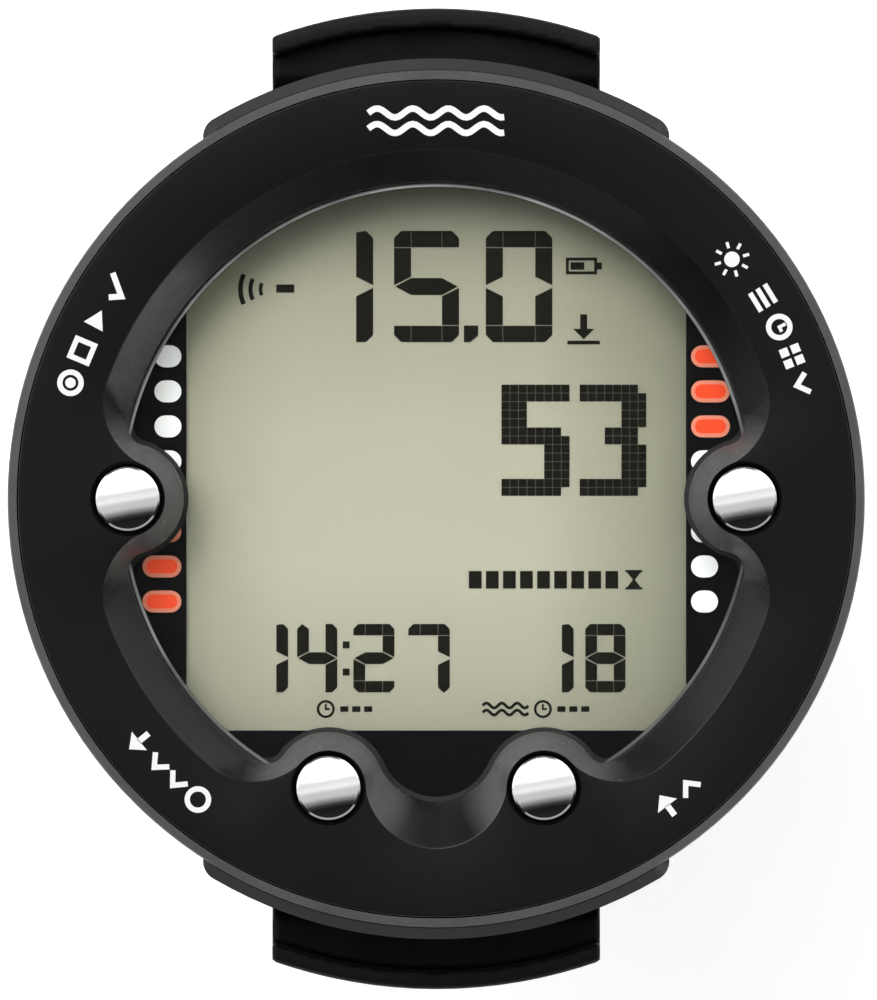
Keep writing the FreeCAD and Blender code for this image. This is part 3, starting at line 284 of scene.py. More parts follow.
def build_materials():
    """Every finish by name; the CAD nodes' names are the record's material slots."""
    made = {
        "case_polymer": moulded("case_polymer", (0.018, 0.0185, 0.0195), 0.4, 0.3),
        "bezel_polymer": moulded("bezel_polymer", (0.0062, 0.0062, 0.0066), 0.5, 0.1, 0.000006),
        "wall_polymer": wall_finish_with_painted_light(),
        "deck_polymer": moulded("deck_polymer", (0.012, 0.012, 0.012), 0.5),
        "cap_polymer": moulded("cap_polymer", (0.026, 0.027, 0.029), 0.45),
        "tray_polymer": moulded("tray_polymer", (0.7, 0.71, 0.69), 0.5),
        "mask_ink": moulded("mask_ink", (0.0025, 0.0025, 0.0025), 0.35, 0.05, 0.000002),
        "seal_rubber": rubber("seal_rubber", (0.02, 0.02, 0.02), 0.5),
        "zebra_rubber": rubber("zebra_rubber", (0.12, 0.12, 0.14), 0.5),
        "strap_rubber": strap_finish_with_painted_shade(),
        "steel_polished": metal("steel_polished", (0.93, 0.93, 0.93), 0.05),
        "steel_brushed": metal("steel_brushed", (0.6, 0.6, 0.61), 0.28, True),
        "spring_steel": metal("spring_steel", (0.5, 0.5, 0.52), 0.3),
        "cell_steel": metal("cell_steel", (0.68, 0.69, 0.7), 0.22),
        "contact_brass": metal("contact_brass", (0.83, 0.62, 0.28), 0.25),
        "bush_brass": metal("bush_brass", (0.72, 0.53, 0.26), 0.3),
        "board_laminate": moulded("board_laminate", (0.012, 0.11, 0.045), 0.35),
        "chip_epoxy": moulded("chip_epoxy", (0.02, 0.02, 0.02), 0.6),
        "part_ceramic": moulded("part_ceramic", (0.45, 0.33, 0.2), 0.5),
        "sounder_ceramic": moulded("sounder_ceramic", (0.6, 0.57, 0.48), 0.4),
        "light_plate": moulded("light_plate", (0.75, 0.8, 0.74), 0.4),
        "mark_white": moulded("mark_white", (0.92, 0.92, 0.91), 0.35, 0.4, 0.000002, spread=0.02),
        "mark_orange": moulded("mark_orange", (0.8, 0.06, 0.012), 0.35, 0.25, 0.000002),
        "mark_rim": moulded("mark_rim", (0.8, 0.24, 0.15), 0.4, 0.4, 0.000002),
        "print_white": moulded("print_white", (0.93, 0.93, 0.92), 0.5, 0.3, 0.000002, spread=0.02),
        "segment_ink": moulded("segment_ink", (0.0095, 0.0085, 0.0055), 0.5, 0.05, 0.000001, 0.002),
    }
    # painted glow: the printed marks give out a little light of their own colour, though they are
    # no lamp
    for name, painted_glow in (("mark_white", 0.22), ("mark_orange", 0.34), ("mark_rim", 0.12)):
        paint = made[name]
        paint.set("Emission Color", (*paint.colour, 1)).set("Emission Strength", painted_glow)
    made["lens_glass"] = glass()
    # painted highlight: the lens chamfer gets this pale grey finish, which stands in for the
    # highlight along the glass bevel
    made["ground_glass"] = moulded("ground_glass", (0.42, 0.43, 0.42), 0.3, 0.6, 0.000004, 0.004,
                                   0.5)
    made["panel_glass"] = panel()
    return {name: f.material for name, f in made.items()}


def glass():
    """Clear mineral glass that lets lamp light through to the display."""
    f = Finish("lens_glass", (0.97, 0.99, 0.975), 0.015)
    f.set("Transmission Weight", 1.0)
    f.set("IOR", 1.47)
    f.set("Specular Tint", (0.05, 0.05, 0.055, 1))
    f.uneven(0.012, 0.01)
    clear = f.tree.nodes.new("ShaderNodeBsdfTransparent")
    path = f.tree.nodes.new("ShaderNodeLightPath")
    mix = f.tree.nodes.new("ShaderNodeMixShader")
    f.link(path.outputs["Is Shadow Ray"], mix.inputs[0])
    f.link(f.shader.outputs[0], mix.inputs[1])
    f.link(clear.outputs[0], mix.inputs[2])
    f.link(mix.outputs[0], f.output.inputs["Surface"])
    return f


def panel():
    """The liquid-crystal panel: greenish beige, with painted shade that darkens it towards the top,
    a little towards the bottom, and towards the sides, most on the right.
    """
    f = Finish("panel_glass", (0.44, 0.43, 0.32), 0.5, specular=0.25)
    # the beige tone with painted shade along Y: palest a third of the way up, darkest at the top
    # edge
    tone_and_painted_shade_upwards = [
        (0.0, (0.37, 0.355, 0.27)),
        (0.1, (0.44, 0.425, 0.33)),
        (0.3, (0.52, 0.50, 0.39)),
        (0.55, (0.49, 0.47, 0.362)),
        (0.8, (0.4, 0.385, 0.29)),
        (0.93, (0.27, 0.265, 0.195)),
        (1.0, (0.19, 0.185, 0.135)),
    ]
    # painted shade across X: darker at both sides, most at the right
    across = [
        (0.0, (0.76, 0.76, 0.74)),
        (0.06, (0.88, 0.88, 0.86)),
        (0.2, (1, 1, 1)),
        (0.7, (1, 1, 1)),
        (0.93, (0.68, 0.69, 0.65)),
        (1.0, (0.52, 0.53, 0.5)),
    ]
    colour = f.ramp(f.ranged(f.axis("Y"), 0, 1, -18.5 * MM, 25.0 * MM), tone_and_painted_shade_upwards)
    shade = f.ramp(f.ranged(f.axis("X"), 0, 1, -20.0 * MM, 20.0 * MM), across)
    f.paint(1.0, colour, shade, "MULTIPLY")
    f.uneven(0.003, 0.05)
    f.bump(f.noise(0.0004, 2.0), 0.000004)
    return f


MATERIALS = build_materials()


def paint_nodes():
    """Every CAD node takes the finish of its record slot."""
    for node in NODES.values():
        for slot in node.material_slots:
            name = slot.material.name.split(".")[0] if slot.material else ""
            slot.material = MATERIALS.get(name, MATERIALS["case_polymer"])


# ---------------------------------------------------------------- mesh helpers


def piece(name, verts, faces, material, body="case", smooth=True):
    """A mesh object in millimetres, on a body. Material may be one name or one per face."""
    mesh = bpy.data.meshes.new(name)
    mesh.from_pydata([Vector(v) * MM for v in verts], [], faces)
    names = [material] * len(faces) if isinstance(material, str) else material
    order = sorted(set(names))
    for key in order:
        mesh.materials.append(MATERIALS[key])
    for polygon, key in zip(mesh.polygons, names):
        polygon.material_index = order.index(key)
        polygon.use_smooth = smooth
    mesh.validate()
    obj = bpy.data.objects.new(name, mesh)
    bpy.context.scene.collection.objects.link(obj)
    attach(obj, body)
    return obj


def sharpen(obj, degrees=35):
    """Keeps smooth shading, but splits it at corners sharper than an angle."""
    mesh = bmesh.new()
    mesh.from_mesh(obj.data)
    bmesh.ops.remove_doubles(mesh, verts=mesh.verts, dist=1e-7)
    bmesh.ops.recalc_face_normals(mesh, faces=mesh.faces)
    for edge in mesh.edges:
        edge.smooth = len(edge.link_faces) == 2 and edge.calc_face_angle(0) < math.radians(degrees)
    for face in mesh.faces:
        face.smooth = True
    mesh.to_mesh(obj.data)
    mesh.free()


def arc(centre, radius, start, end, count):
    """Points along an arc from one angle to another, in degrees, ends included."""
    angles = np.radians(np.linspace(start, end, count))
    return [(centre[0] + radius * math.cos(a), centre[1] + radius * math.sin(a)) for a in angles]


def angle_of(a, b):
    """The direction from a to b, in degrees."""
    return math.degrees(math.atan2(b[1] - a[1], b[0] - a[0]))


def bridge(count, rings):
    """Faces between closed rings that follow each other, each with the same number of points."""
    faces = []
    for first in range(0, (rings - 1) * count, count):
        for i in range(count):
            a, b = first + i, first + (i + 1) % count
            faces.append((a, b, b + count, a + count))
    return faces


def turned(profile, at, count):
    """Verts and faces of a profile of (radius, height) turned about a vertical axis."""
    verts, rings = [], []
    for radius, height in profile:
        if radius < 1e-6:
            rings.append([len(verts)] * count)
            verts.append((at[0], at[1], height))
        else:
            rings.append(list(range(len(verts), len(verts) + count)))
            for i in range(count):
                a = 2 * math.pi * i / count
                verts.append((at[0] + radius * math.cos(a), at[1] + radius * math.sin(a), height))
    faces = []
    for a, b in zip(rings, rings[1:]):
        for i in range(count):
            j = (i + 1) % count
            loop = [a[i], a[j], b[j], b[i]]
            loop = [v for k, v in enumerate(loop) if v not in loop[:k]]
            if len(loop) > 2:
                faces.append(tuple(loop))
    return verts, faces


# ---------------------------------------------------------------- bezel

BEZEL_RADIUS, BEZEL_BASE, BEZEL_TOP = 33.25, 25.15, 27.9
HOLE_RADIUS = 2.98
INNER = {"radius": 25.2, "shroud": 4.45, "corner": 1.5, "dip": 24.1}
OUTER = {"radius": 27.82, "shroud": HOLE_RADIUS, "corner": 5.5, "dip": 27.8}


def window_loop(radius, shroud, corner, dip):
    """The window's outline, anticlockwise from 12 o'clock, as runs of points by kind."""
    reach, beside = radius - corner, shroud + corner
    cosine = (BUTTON_CIRCLE**2 + reach**2 - beside**2) / (2 * BUTTON_CIRCLE * reach)
    aside = math.degrees(math.acos(cosine))
    drop = dip + LOW_Y
    rise = (LOW_X**2 - (shroud + drop) ** 2) / (2 * (shroud + drop))
    dip_centre = (0.0, LOW_Y + rise)

    def corner_centre(angle):
        return (reach * math.cos(math.radians(angle)), reach * math.sin(math.radians(angle)))

    def around(button, first, last, count):
        start, end = angle_of(button, first), angle_of(button, last)
        while end > start:
            end -= 360
        return arc(button, shroud, start, end, count)

    left, low = BUTTONS["left"], BUTTONS["low_left"]
    low_angle = angle_of((0, 0), low) % 360
    c1, c2 = corner_centre(180 - aside), corner_centre(180 + aside)
    c3 = corner_centre(low_angle - aside)
    runs = [("rim", arc((0, 0), radius, 90, 180 - aside, 90))]
    runs.append(("corner", arc(c1, corner, 180 - aside, angle_of(c1, left) % 360, 14)))
    runs.append(("button", around(left, c1, c2, 40)))
    runs.append(("corner", arc(c2, corner, angle_of(c2, left), 180 + aside, 14)))
    runs.append(("rim", arc((0, 0), radius, 180 + aside, low_angle - aside, 44)))
    start = low_angle - aside
    end = angle_of(c3, low) % 360
    if end < start:
        end += 360
    runs.append(("corner", arc(c3, corner, start, end, 14)))
    runs.append(("button", around(low, c3, dip_centre, 40)))
    start = angle_of(dip_centre, low) % 360
    runs.append(("dip", arc(dip_centre, drop + rise, start, 270, 24)))
    half = []
    for kind, points in runs:
        half += [(p, kind) for p in points[(1 if half else 0):]]
    mirrored = [((-p[0], p[1]), kind) for p, kind in reversed(half)]
    return half + mirrored[1:-1]


def inside(point, loop):
    """True where a point is inside a closed outline."""
    x, y = point
    crossings = 0
    for (x0, y0), (x1, y1) in zip(loop, loop[1:] + loop[:1]):
        if (y0 > y) != (y1 > y) and x < x0 + (y - y0) * (x1 - x0) / (y1 - y0):
            crossings += 1
    return crossings % 2 == 1


def fill_between(outer, inner):
    """Points and triangles that cover the flat area between two outlines."""
    points = [Vector(p) for p in list(outer) + list(inner)]
    first, second = len(outer), len(inner)
    edges = [(i, (i + 1) % first) for i in range(first)]
    edges += [(first + i, first + (i + 1) % second) for i in range(second)]
    found, _, triangles, _, _, _ = delaunay_2d_cdt(points, edges, [], 1, 1e-6)
    kept = []
    for triangle in triangles:
        middle = sum((found[v] for v in triangle), Vector((0, 0))) / 3
        if not inside(middle, inner):
            kept.append(tuple(triangle))
    return [tuple(p) for p in found], kept


def bezel_ring():
    """The ring with a rounded rim, a sloping wall round the window, and four button holes."""
    inner, outer = window_loop(**INNER), window_loop(**OUTER)
    count = len(inner)
    low = np.array([p for p, _ in inner])
    high = np.array([p for p, _ in outer])
    kinds = [k for _, k in outer]
    ahead = np.roll(high, -1, 0) - np.roll(high, 1, 0)
    out = np.stack([ahead[:, 1], -ahead[:, 0]], 1)
    out /= np.linalg.norm(out, axis=1)[:, None]
    # the crest is rounded over, except where a button hole comes too near to it
    lip, round_from = 0.04, 0.92
    holes = np.array(list(BUTTONS.values()))
    room = np.linalg.norm(high[:, None] - holes[None], axis=2).min(1) - HOLE_RADIUS
    land = np.clip(0.45 * room / lip, 0, 1)
    crest = high + out * (lip * land)[:, None]
    verts, mats = [], []

    def ring(points, height):
        heights = np.broadcast_to(height, (count,))
        verts.extend((x, y, z) for (x, y), z in zip(points, heights))

    foot, rise = 25.45, BEZEL_TOP - 25.45
    for share, height in ((0.0, BEZEL_BASE), (0.0, 25.34), (0.012, 25.44), (0.04, 25.54)):
        ring(low + (high - low) * share, height)
    for share in (0.2, 0.4, 0.6, 0.8, 0.9):
        ring(low + (high - low) * share, foot + rise * share)
    back = round_from + (1 - round_from) * (1 - land)
    base = low + (high - low) * back[:, None]
    for step in (0.0, 0.25, 0.5, 0.75, 1.0):
        a, b, c = (1 - step) ** 2, 2 * step * (1 - step), step**2
        ring(base * a + high * b + crest * c, (foot + rise * back) * a + BEZEL_TOP * (b + c))
    faces = bridge(count, len(verts) // count)
    mats += ["wall_polymer"] * len(faces)

    top_inner, i = [], 0
    while i < count:
        if kinds[i] == "button":
            j = i
            while j < count and kinds[j] == "button":
                j += 1
            first, last = crest[i], crest[j - 1]
            centre = min(BUTTONS.values(), key=lambda b: math.dist(b, first))
            start, end = angle_of(centre, first), angle_of(centre, last)
            while end < start:
                end += 360
            top_inner += arc(centre, HOLE_RADIUS, start, end, 60)
            i = j
        else:
            top_inner.append(tuple(crest[i]))
            i += 1

    rim = 288
    edge = 0.2
    outer_rings = arc((BEZEL_RADIUS - edge, BEZEL_TOP - edge), edge, 90, 0, 7)
    outer_rings.append((BEZEL_RADIUS, BEZEL_BASE))
    first = len(verts)
    for r, z in outer_rings:
        for k in range(rim):
            a = 2 * math.pi * k / rim
            verts.append((r * math.cos(a), r * math.sin(a), z))
    side = [tuple(v + first for v in f) for f in bridge(rim, len(outer_rings))]
    faces += side
    mats += ["bezel_polymer"] * len(side)

    start = len(verts)
    flat, triangles = fill_between([v[:2] for v in verts[first:first + rim]], top_inner)
    verts.extend((x, y, BEZEL_TOP) for x, y in flat)
    top = [tuple(v + start for v in t) for t in triangles]
    faces += top
    mats += ["bezel_polymer"] * len(top)

    for centre in BUTTONS.values():
        at = len(verts)
        edges = [(HOLE_RADIUS, BEZEL_BASE), (HOLE_RADIUS, BEZEL_TOP)]
        hole, hole_faces = turned(edges, centre, 120)
        verts.extend(hole)
        faces += [tuple(v + at for v in f) for f in hole_faces]
        mats += ["deck_polymer"] * len(hole_faces)
    ring_piece = piece("bezel_ring", verts, faces, mats)
    sharpen(ring_piece, 50)
    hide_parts("bezel")


# ---------------------------------------------------------------- buttons


def button_caps():
    """Polished domed caps with a fine bevel, on their stems."""
    radius, top, under = 2.64, 28.35, 24.3
    dome = []
    sphere, dome_radius = 7.4, 2.38
    for r in np.linspace(0, dome_radius, 14):
        dome.append((r, top - (sphere - math.sqrt(sphere**2 - r**2))))
    edge_z = dome[-1][1]
    profile = [(0, 15.55), (1.0, 15.55), (1.0, 15.95), (0.7, 15.95), (0.7, 16.35), (1.0, 16.35),
               (1.0, 18.4), (0.55, 18.4), (0.55, 19.3), (1.0, 19.3), (1.0, under)]
    profile += [(radius - 0.15, under), (radius, under + 0.15), (radius, edge_z - 0.36)]
    profile += [(radius - 0.04, edge_z - 0.25), (radius - 0.11, edge_z - 0.105)]
    profile += list(reversed(dome))
    for name, at in BUTTONS.items():
        verts, faces = turned(profile, at, 96)
        cap = piece(f"button_{name}_cap", verts, faces, "steel_polished",
                    f"button_{name}")
        sharpen(cap, 8)
        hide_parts(f"button_{name}")


def return_springs():
    """The wave spring under each cap, a smooth-shaded copy of its CAD node on the case."""
    for name, (x, y) in BUTTONS.items():
        node = f"button_{name}_spring"
        spring = bpy.data.objects.new(f"return_spring_{name}", NODES[node].data.copy())
        bpy.context.scene.collection.objects.link(spring)
        sharpen(spring)
        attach(spring, "case")
        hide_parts(node)
        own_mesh(spring)


# ---------------------------------------------------------------- lens


def lens_pane():
    """The window glass, stepped and chamfered where its raised face meets the bezel wall."""
    base, shelf, top = 22.7, 24.82, 25.1
    tuck = 0.98
    seat = window_loop(INNER["radius"] + tuck, INNER["shroud"] - tuck, INNER["corner"] + tuck,
                       INNER["dip"] + tuck)
    seat = [p for p, _ in seat]
    inner = [p for p, _ in window_loop(**INNER)]
    verts = [(x, y, z) for z in (base, shelf) for x, y in seat]
    count = len(seat)
    faces = bridge(count, 2)
    near, far = [], []
    for x, y in inner:
        r = math.hypot(x, y)
        a = (x / r, y / r)
        edge = min(25.08, r + 0.35)
        face = min(24.84, r + 0.2)
        far.append((a[0] * edge, a[1] * edge))
        near.append((a[0] * face, a[1] * face))
    for points, z in ((far, shelf), (near, top)):
        verts.extend((x, y, z) for x, y in points)
    faces += [tuple(v + count for v in f) for f in bridge(count, 3)]
    start = len(verts)
    verts.append((0, 0, top))
    faces += [(3 * count + i, 3 * count + (i + 1) % count, start) for i in range(count)]
    verts.append((0, 0, base))
    faces += [((i + 1) % count, i, start + 1) for i in range(count)]
    mats = ["lens_glass"] * len(faces)
    # painted highlight: the chamfer faces take the pale grey finish that stands in for the bevel's
    # highlight
    mats[2 * count:3 * count] = ["ground_glass"] * count
    pane = piece("lens_pane", verts, faces, mats)
    sharpen(pane, 20)
    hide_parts("lens")


# ---------------------------------------------------------------- display


def stadium(width, height):
    """The outline of a bar with round ends, centred, as points."""
    r = height / 2
    run = width / 2 - r
    return arc((run, 0), r, -90, 90, 14) + arc((-run, 0), r, 90, 270, 14)


def slab(outline, low, high, verts, faces):
    """Adds a thin raised shape, open underneath, with the given outline to a growing mesh."""
    start, count = len(verts), len(outline)
    verts.extend((x, y, low) for x, y in outline)
    verts.extend((x, y, high) for x, y in outline)
    for i in range(count):
        j = (i + 1) % count
        faces.append((start + i, start + j, start + count + j, start + count + i))
    for tri in tessellate_polygon([[Vector((x, y, 0)) for x, y in outline]]):
        faces.append(tuple(start + count + v for v in tri))


def marker_rows():
    """The side markers: plain white ones, and orange ones with a paler rim."""
    pitch, first, edge = 2.79, 11.35, 20.3
    height, rim = 1.75, 0.62
    base, crown = 20.955, 20.985
    sets = {
        "white": [(-1, r, 2.15) for r in range(5)] + [(1, r, 2.15) for r in range(3, 8)],
        "orange": [(-1, r, 3.1) for r in range(5, 8)] + [(1, r, 3.1) for r in range(3)],
    }
    for colour, rows in sets.items():
        verts, faces, mats = [], [], []
        for side, row, width in rows:
            at = (side * (edge + width / 2), first - pitch * row)
            outline = [(at[0] + x, at[1] + y) for x, y in stadium(width, height)]
            core = [(at[0] + x, at[1] + y) for x, y in stadium(width - rim, height - rim)]
            start, count = len(verts), len(outline)
            for points, z in ((outline, base), (outline, crown), (core, crown + 0.003)):
                verts.extend((x, y, z) for x, y in points)
            band = [tuple(v + start for v in f) for f in bridge(count, 3)]
            faces += band
            mats += ["mark_white" if colour == "white" else "mark_rim"] * len(band)
            faces.append(tuple(start + 2 * count + i for i in range(count)))
            mats.append("mark_white" if colour == "white" else "mark_orange")
        rows_piece = piece(f"marker_rows_{colour}", verts, faces, mats,
                           smooth=False)
        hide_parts(f"marks_{colour}")


SEGMENTS = {
    "0": "abcdef", "1": "bc", "2": "abged", "4": "fgbc", "5": "afgcd", "7": "abc", "8": "abcdefg",
}


def digit(char, x, y, w, h, t, g=0.05):
    """Outlines of a seven-segment digit, its lower left corner at x, y, with bars t wide."""
    m, c = h / 2, t * 0.42
    shapes = {
        "a": [(c, h), (w - c, h), (w, h - c), (w, h - t + g), (0, h - t + g), (0, h - c)],
        "d": [(c, 0), (w - c, 0), (w, c), (w, t - g), (0, t - g), (0, c)],
        "g": [(g * 2, m), (t, m + t / 2), (w - t, m + t / 2), (w - g * 2, m), (w - t, m - t / 2),
              (t, m - t / 2)],
        "f": [(0, h - t), (t, h - t), (t, m + t / 2 + 2 * g), (0, m + 2 * g)],
        "b": [(w - t, h - t), (w, h - t), (w, m + 2 * g), (w - t, m + t / 2 + 2 * g)],
        "e": [(0, m - 2 * g), (t, m - t / 2 - 2 * g), (t, t), (0, t)],
        "c": [(w - t, m - t / 2 - 2 * g), (w, m - 2 * g), (w, t), (w - t, t)],
    }
    if char == "1":
        shapes["b"] = [(w - t, h - c * 0.2), (w - c, h), (w, h - c), (w, m + 2 * g),
                       (w - t, m + t / 2 + 2 * g)]
        shapes["c"] = [(w - t, m - t / 2 - 2 * g), (w, m - 2 * g), (w, c), (w - c, 0), (w - t, 0)]
    if char == "7":
        shapes["c"] = [(w - t, m - t / 2 - 2 * g), (w, m - 2 * g), (w, c), (w - c, 0),
                       (w - t + c, 0), (w - t, c)]
    if char == "4":
        shapes["f"] = [(0, h - c), (c, h), (t, h - c), (t, m + t / 2 + 2 * g), (0, m + 2 * g)]
        shapes["b"] = [(w - t, h), (w - c, h), (w, h - c), (w, m + 2 * g),
                       (w - t, m + t / 2 + 2 * g)]
        shapes["c"] = [(w - t, m - t / 2 - 2 * g), (w, m - 2 * g), (w, c), (w - c, 0), (w - t, 0)]
    parted = []
    for key in SEGMENTS[char]:
        parted += part_corners(shapes[key], t, w) if key in "ad" else [shapes[key]]
    return [[(x + px, y + py) for px, py in shape] for shape in parted]


def part_corners(bar, t, w):
    """A top or bottom bar cut by two hairlines, beside the upright segments."""
    hair = 0.012
    low, high = min(p[1] for p in bar), max(p[1] for p in bar)
    left = [(min(px, t - hair), py) for px, py in bar]
    right = [(max(px, w - t + hair), py) for px, py in bar]
    middle = rectangle(t + hair, low, w - t - hair, high)
    return [distinct(left), distinct(right), middle]


def distinct(outline):
    """An outline without repeated points."""
    return [p for i, p in enumerate(outline) if p != outline[i - 1]]


DOTS = {
    "5": ["11111111", "11111111", "11100000", "11100000", "11100000", "11111110", "11111111",
          "00000111", "00000111", "00000111", "00000111", "11111111", "11111110"],
    "3": ["11111110", "11111111", "00000111", "00000111", "00000111", "00011110", "00011110",
          "00000111", "00000111", "00000111", "00000111", "11111111", "11111110"],
}


def dots(char, x, y, pitch_x, pitch_y):
    """Square dots of a matrix digit, its upper left corner at x, y."""
    shapes, gap = [], 0.02
    for r, row in enumerate(DOTS[char]):
        for c, on in enumerate(row):
            if on == "1":
                x0, y0 = x + c * pitch_x, y - r * pitch_y
                x1, y1 = x0 + pitch_x - gap, y0 - pitch_y + gap
                shapes.append([(x0, y1), (x1, y1), (x1, y0), (x0, y0)])
    return shapes


def stroke(points, width, closed=False):
    """The outlines of a line of a given width: one four-sided shape per step."""
    pts = [Vector(p) for p in points]
    count = len(pts)
    left, right = [], []
    for i, p in enumerate(pts):
        before = pts[i - 1] if (i or closed) else None
        after = pts[(i + 1) % count] if (i < count - 1 or closed) else None
        a = (p - before).normalized() if before is not None else (after - p).normalized()
        b = (after - p).normalized() if after is not None else a
        mid = (a + b).normalized()
        normal = Vector((-mid.y, mid.x))
        flat = max(normal.dot(Vector((-a.y, a.x))), 0.5)
        left.append(p + normal * width / 2 / flat)
        right.append(p - normal * width / 2 / flat)
    last = count if closed else count - 1
    shapes = []
    for i in range(last):
        j = (i + 1) % count
        shapes.append([tuple(right[i]), tuple(right[j]), tuple(left[j]), tuple(left[i])])
    return shapes


def rectangle(x0, y0, x1, y1):
    """The outline of a rectangle between two corners."""
    return [(x0, y0), (x1, y0), (x1, y1), (x0, y1)]


def circle(x, y, r, count=24):
    """The outline of a disc."""
    return arc((x, y), r, 0, 360 * (count - 1) / count, count)


def ring_shape(x, y, r, width):
    """The outlines of a ring drawn with a line of a given width."""
    return stroke(circle(x, y, r, 28), width, True)


def display_icons():
    """Small plain symbols where a real display has words: no lettering."""
    shapes = []
    # gas symbol: a cylinder outline with its valve, beside the depth
    x, y = 11.7, 18.55
    shapes += stroke([(x - 1.25, y - 0.55), (x + 1.0, y - 0.55), (x + 1.0, y + 0.55),
                      (x - 1.25, y + 0.55)], 0.24, True)
    shapes.append(rectangle(x + 1.05, y - 0.28, x + 1.5, y + 0.28))
    shapes.append(rectangle(x - 1.0, y - 0.3, x + 0.1, y + 0.3))
    # depth symbol: an arrow down to a line
    x, y = 11.75, 13.45
    shapes.append([(x - 0.28, y + 1.25), (x - 0.28, y + 0.05), (x + 0.28, y + 0.05),
                   (x + 0.28, y + 1.25)])
    shapes.append([(x - 0.85, y + 0.1), (x, y - 0.75), (x + 0.85, y + 0.1)])
    shapes.append(rectangle(x - 1.3, y - 1.15, x + 1.3, y - 0.85))
    # signal: three bows and a sensor
    for i, r in enumerate((0.75, 1.55, 2.35)):
        bow = arc((-12.9, 16.7), r + 0.35, 180 - 26, 180 + 26, 12)
        shapes += stroke(bow, 0.3 + 0.04 * i)
    shapes.append(rectangle(-12.75, 16.42, -11.3, 17.08))
    # time left: a row of bars and a sand glass
    for i in range(9):
        x = 2.6 + i * 1.36
        shapes.append(rectangle(x, -7.15, x + 1.02, -5.75))
    x, y = 15.75, -6.45
    shapes.append([(x - 0.55, y + 0.6), (x + 0.55, y + 0.6), (x + 0.08, y), (x - 0.08, y)])
    shapes.append([(x - 0.08, y), (x + 0.08, y), (x + 0.55, y - 0.6), (x - 0.55, y - 0.6)])
    shapes.append(rectangle(x - 0.68, y + 0.6, x + 0.68, y + 0.78))
    shapes.append(rectangle(x - 0.68, y - 0.78, x + 0.68, y - 0.6))
    # clock face and a dash line under the time
    x, y = -8.8, -16.75
    shapes += ring_shape(x, y, 0.62, 0.2)
    shapes += stroke([(x, y + 0.4), (x, y), (x + 0.32, y)], 0.16)
    for i in range(3):
        shapes.append(rectangle(x + 1.15 + i * 0.95, y - 0.22, x + 1.8 + i * 0.95, y + 0.22))
    # wave and dashes under the dive time
    for row in (0.28, -0.28):
        wave = [(3.7 + k * 0.14, -16.75 + row + 0.2 * math.sin(k * 0.72)) for k in range(27)]
        shapes += stroke(wave, 0.24)
    x = 8.5
    shapes += ring_shape(x, -16.75, 0.62, 0.2)
    shapes += stroke([(x, -16.35), (x, -16.75), (x + 0.32, -16.75)], 0.16)
    for i in range(3):
        shapes.append(rectangle(x + 1.15 + i * 0.95, -16.97, x + 1.8 + i * 0.95, -16.53))
    return shapes


def display_digits():
    """Depth, time left, clock and dive time as dark segments on the panel."""
    shapes = []
    y, h, t = 12.48, 8.87, 1.36
    shapes += digit("1", -10.2, y, 5.18, h, t)
    shapes += digit("5", -3.36, y, 5.18, h, t)
    shapes += digit("0", 3.95, y, 5.3, h, t)
    shapes.append([(2.2, y), (2.72, y), (3.35, y + 0.53), (3.35, y + 1.33), (2.2, y + 1.33)])
    shapes += dots("5", 5.2, 9.1, 0.681, 0.683)
    shapes += dots("3", 11.43, 9.1, 0.666, 0.683)
    y, h, t = -15.42, 5.45, 0.94
    shapes += digit("1", -15.0, y, 3.2, h, t, 0.035)
    shapes += digit("4", -11.08, y, 3.2, h, t, 0.035)
    shapes.append(rectangle(-7.45, -11.92, -6.9, -11.36))
    shapes.append(rectangle(-7.45, -14.08, -6.9, -13.52))
    shapes += digit("2", -6.6, y, 3.27, h, t, 0.035)
    shapes += digit("7", -2.22, y, 3.3, h, t, 0.035)
    shapes += digit("1", 7.75, y, 3.2, h, t, 0.035)
    shapes += digit("8", 11.88, y, 3.2, h, t, 0.035)
    return shapes


def display_segments():
    """The digits and symbols as a thin dark layer on the panel."""
    verts, faces = [], []
    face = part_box("lcd_panel")[1].z / MM
    for outline in display_digits() + display_icons():
        slab(outline, face + 0.004, face + 0.03, verts, faces)
    piece("display_segments", verts, faces, "segment_ink", smooth=False)


# ---------------------------------------------------------------- printed symbols


def put(shapes, clock, radius, inward=False):
    """Sets shapes drawn about the origin onto the bezel at a clock angle in degrees."""
    a = math.radians(90 - clock)
    out = Vector((math.cos(a), math.sin(a)))
    up = -out if inward else out
    right = Vector((up.y, -up.x))
    centre = out * radius
    placed = []
    for shape in shapes:
        placed.append([tuple(centre + right * px + up * py) for px, py in shape])
    return placed


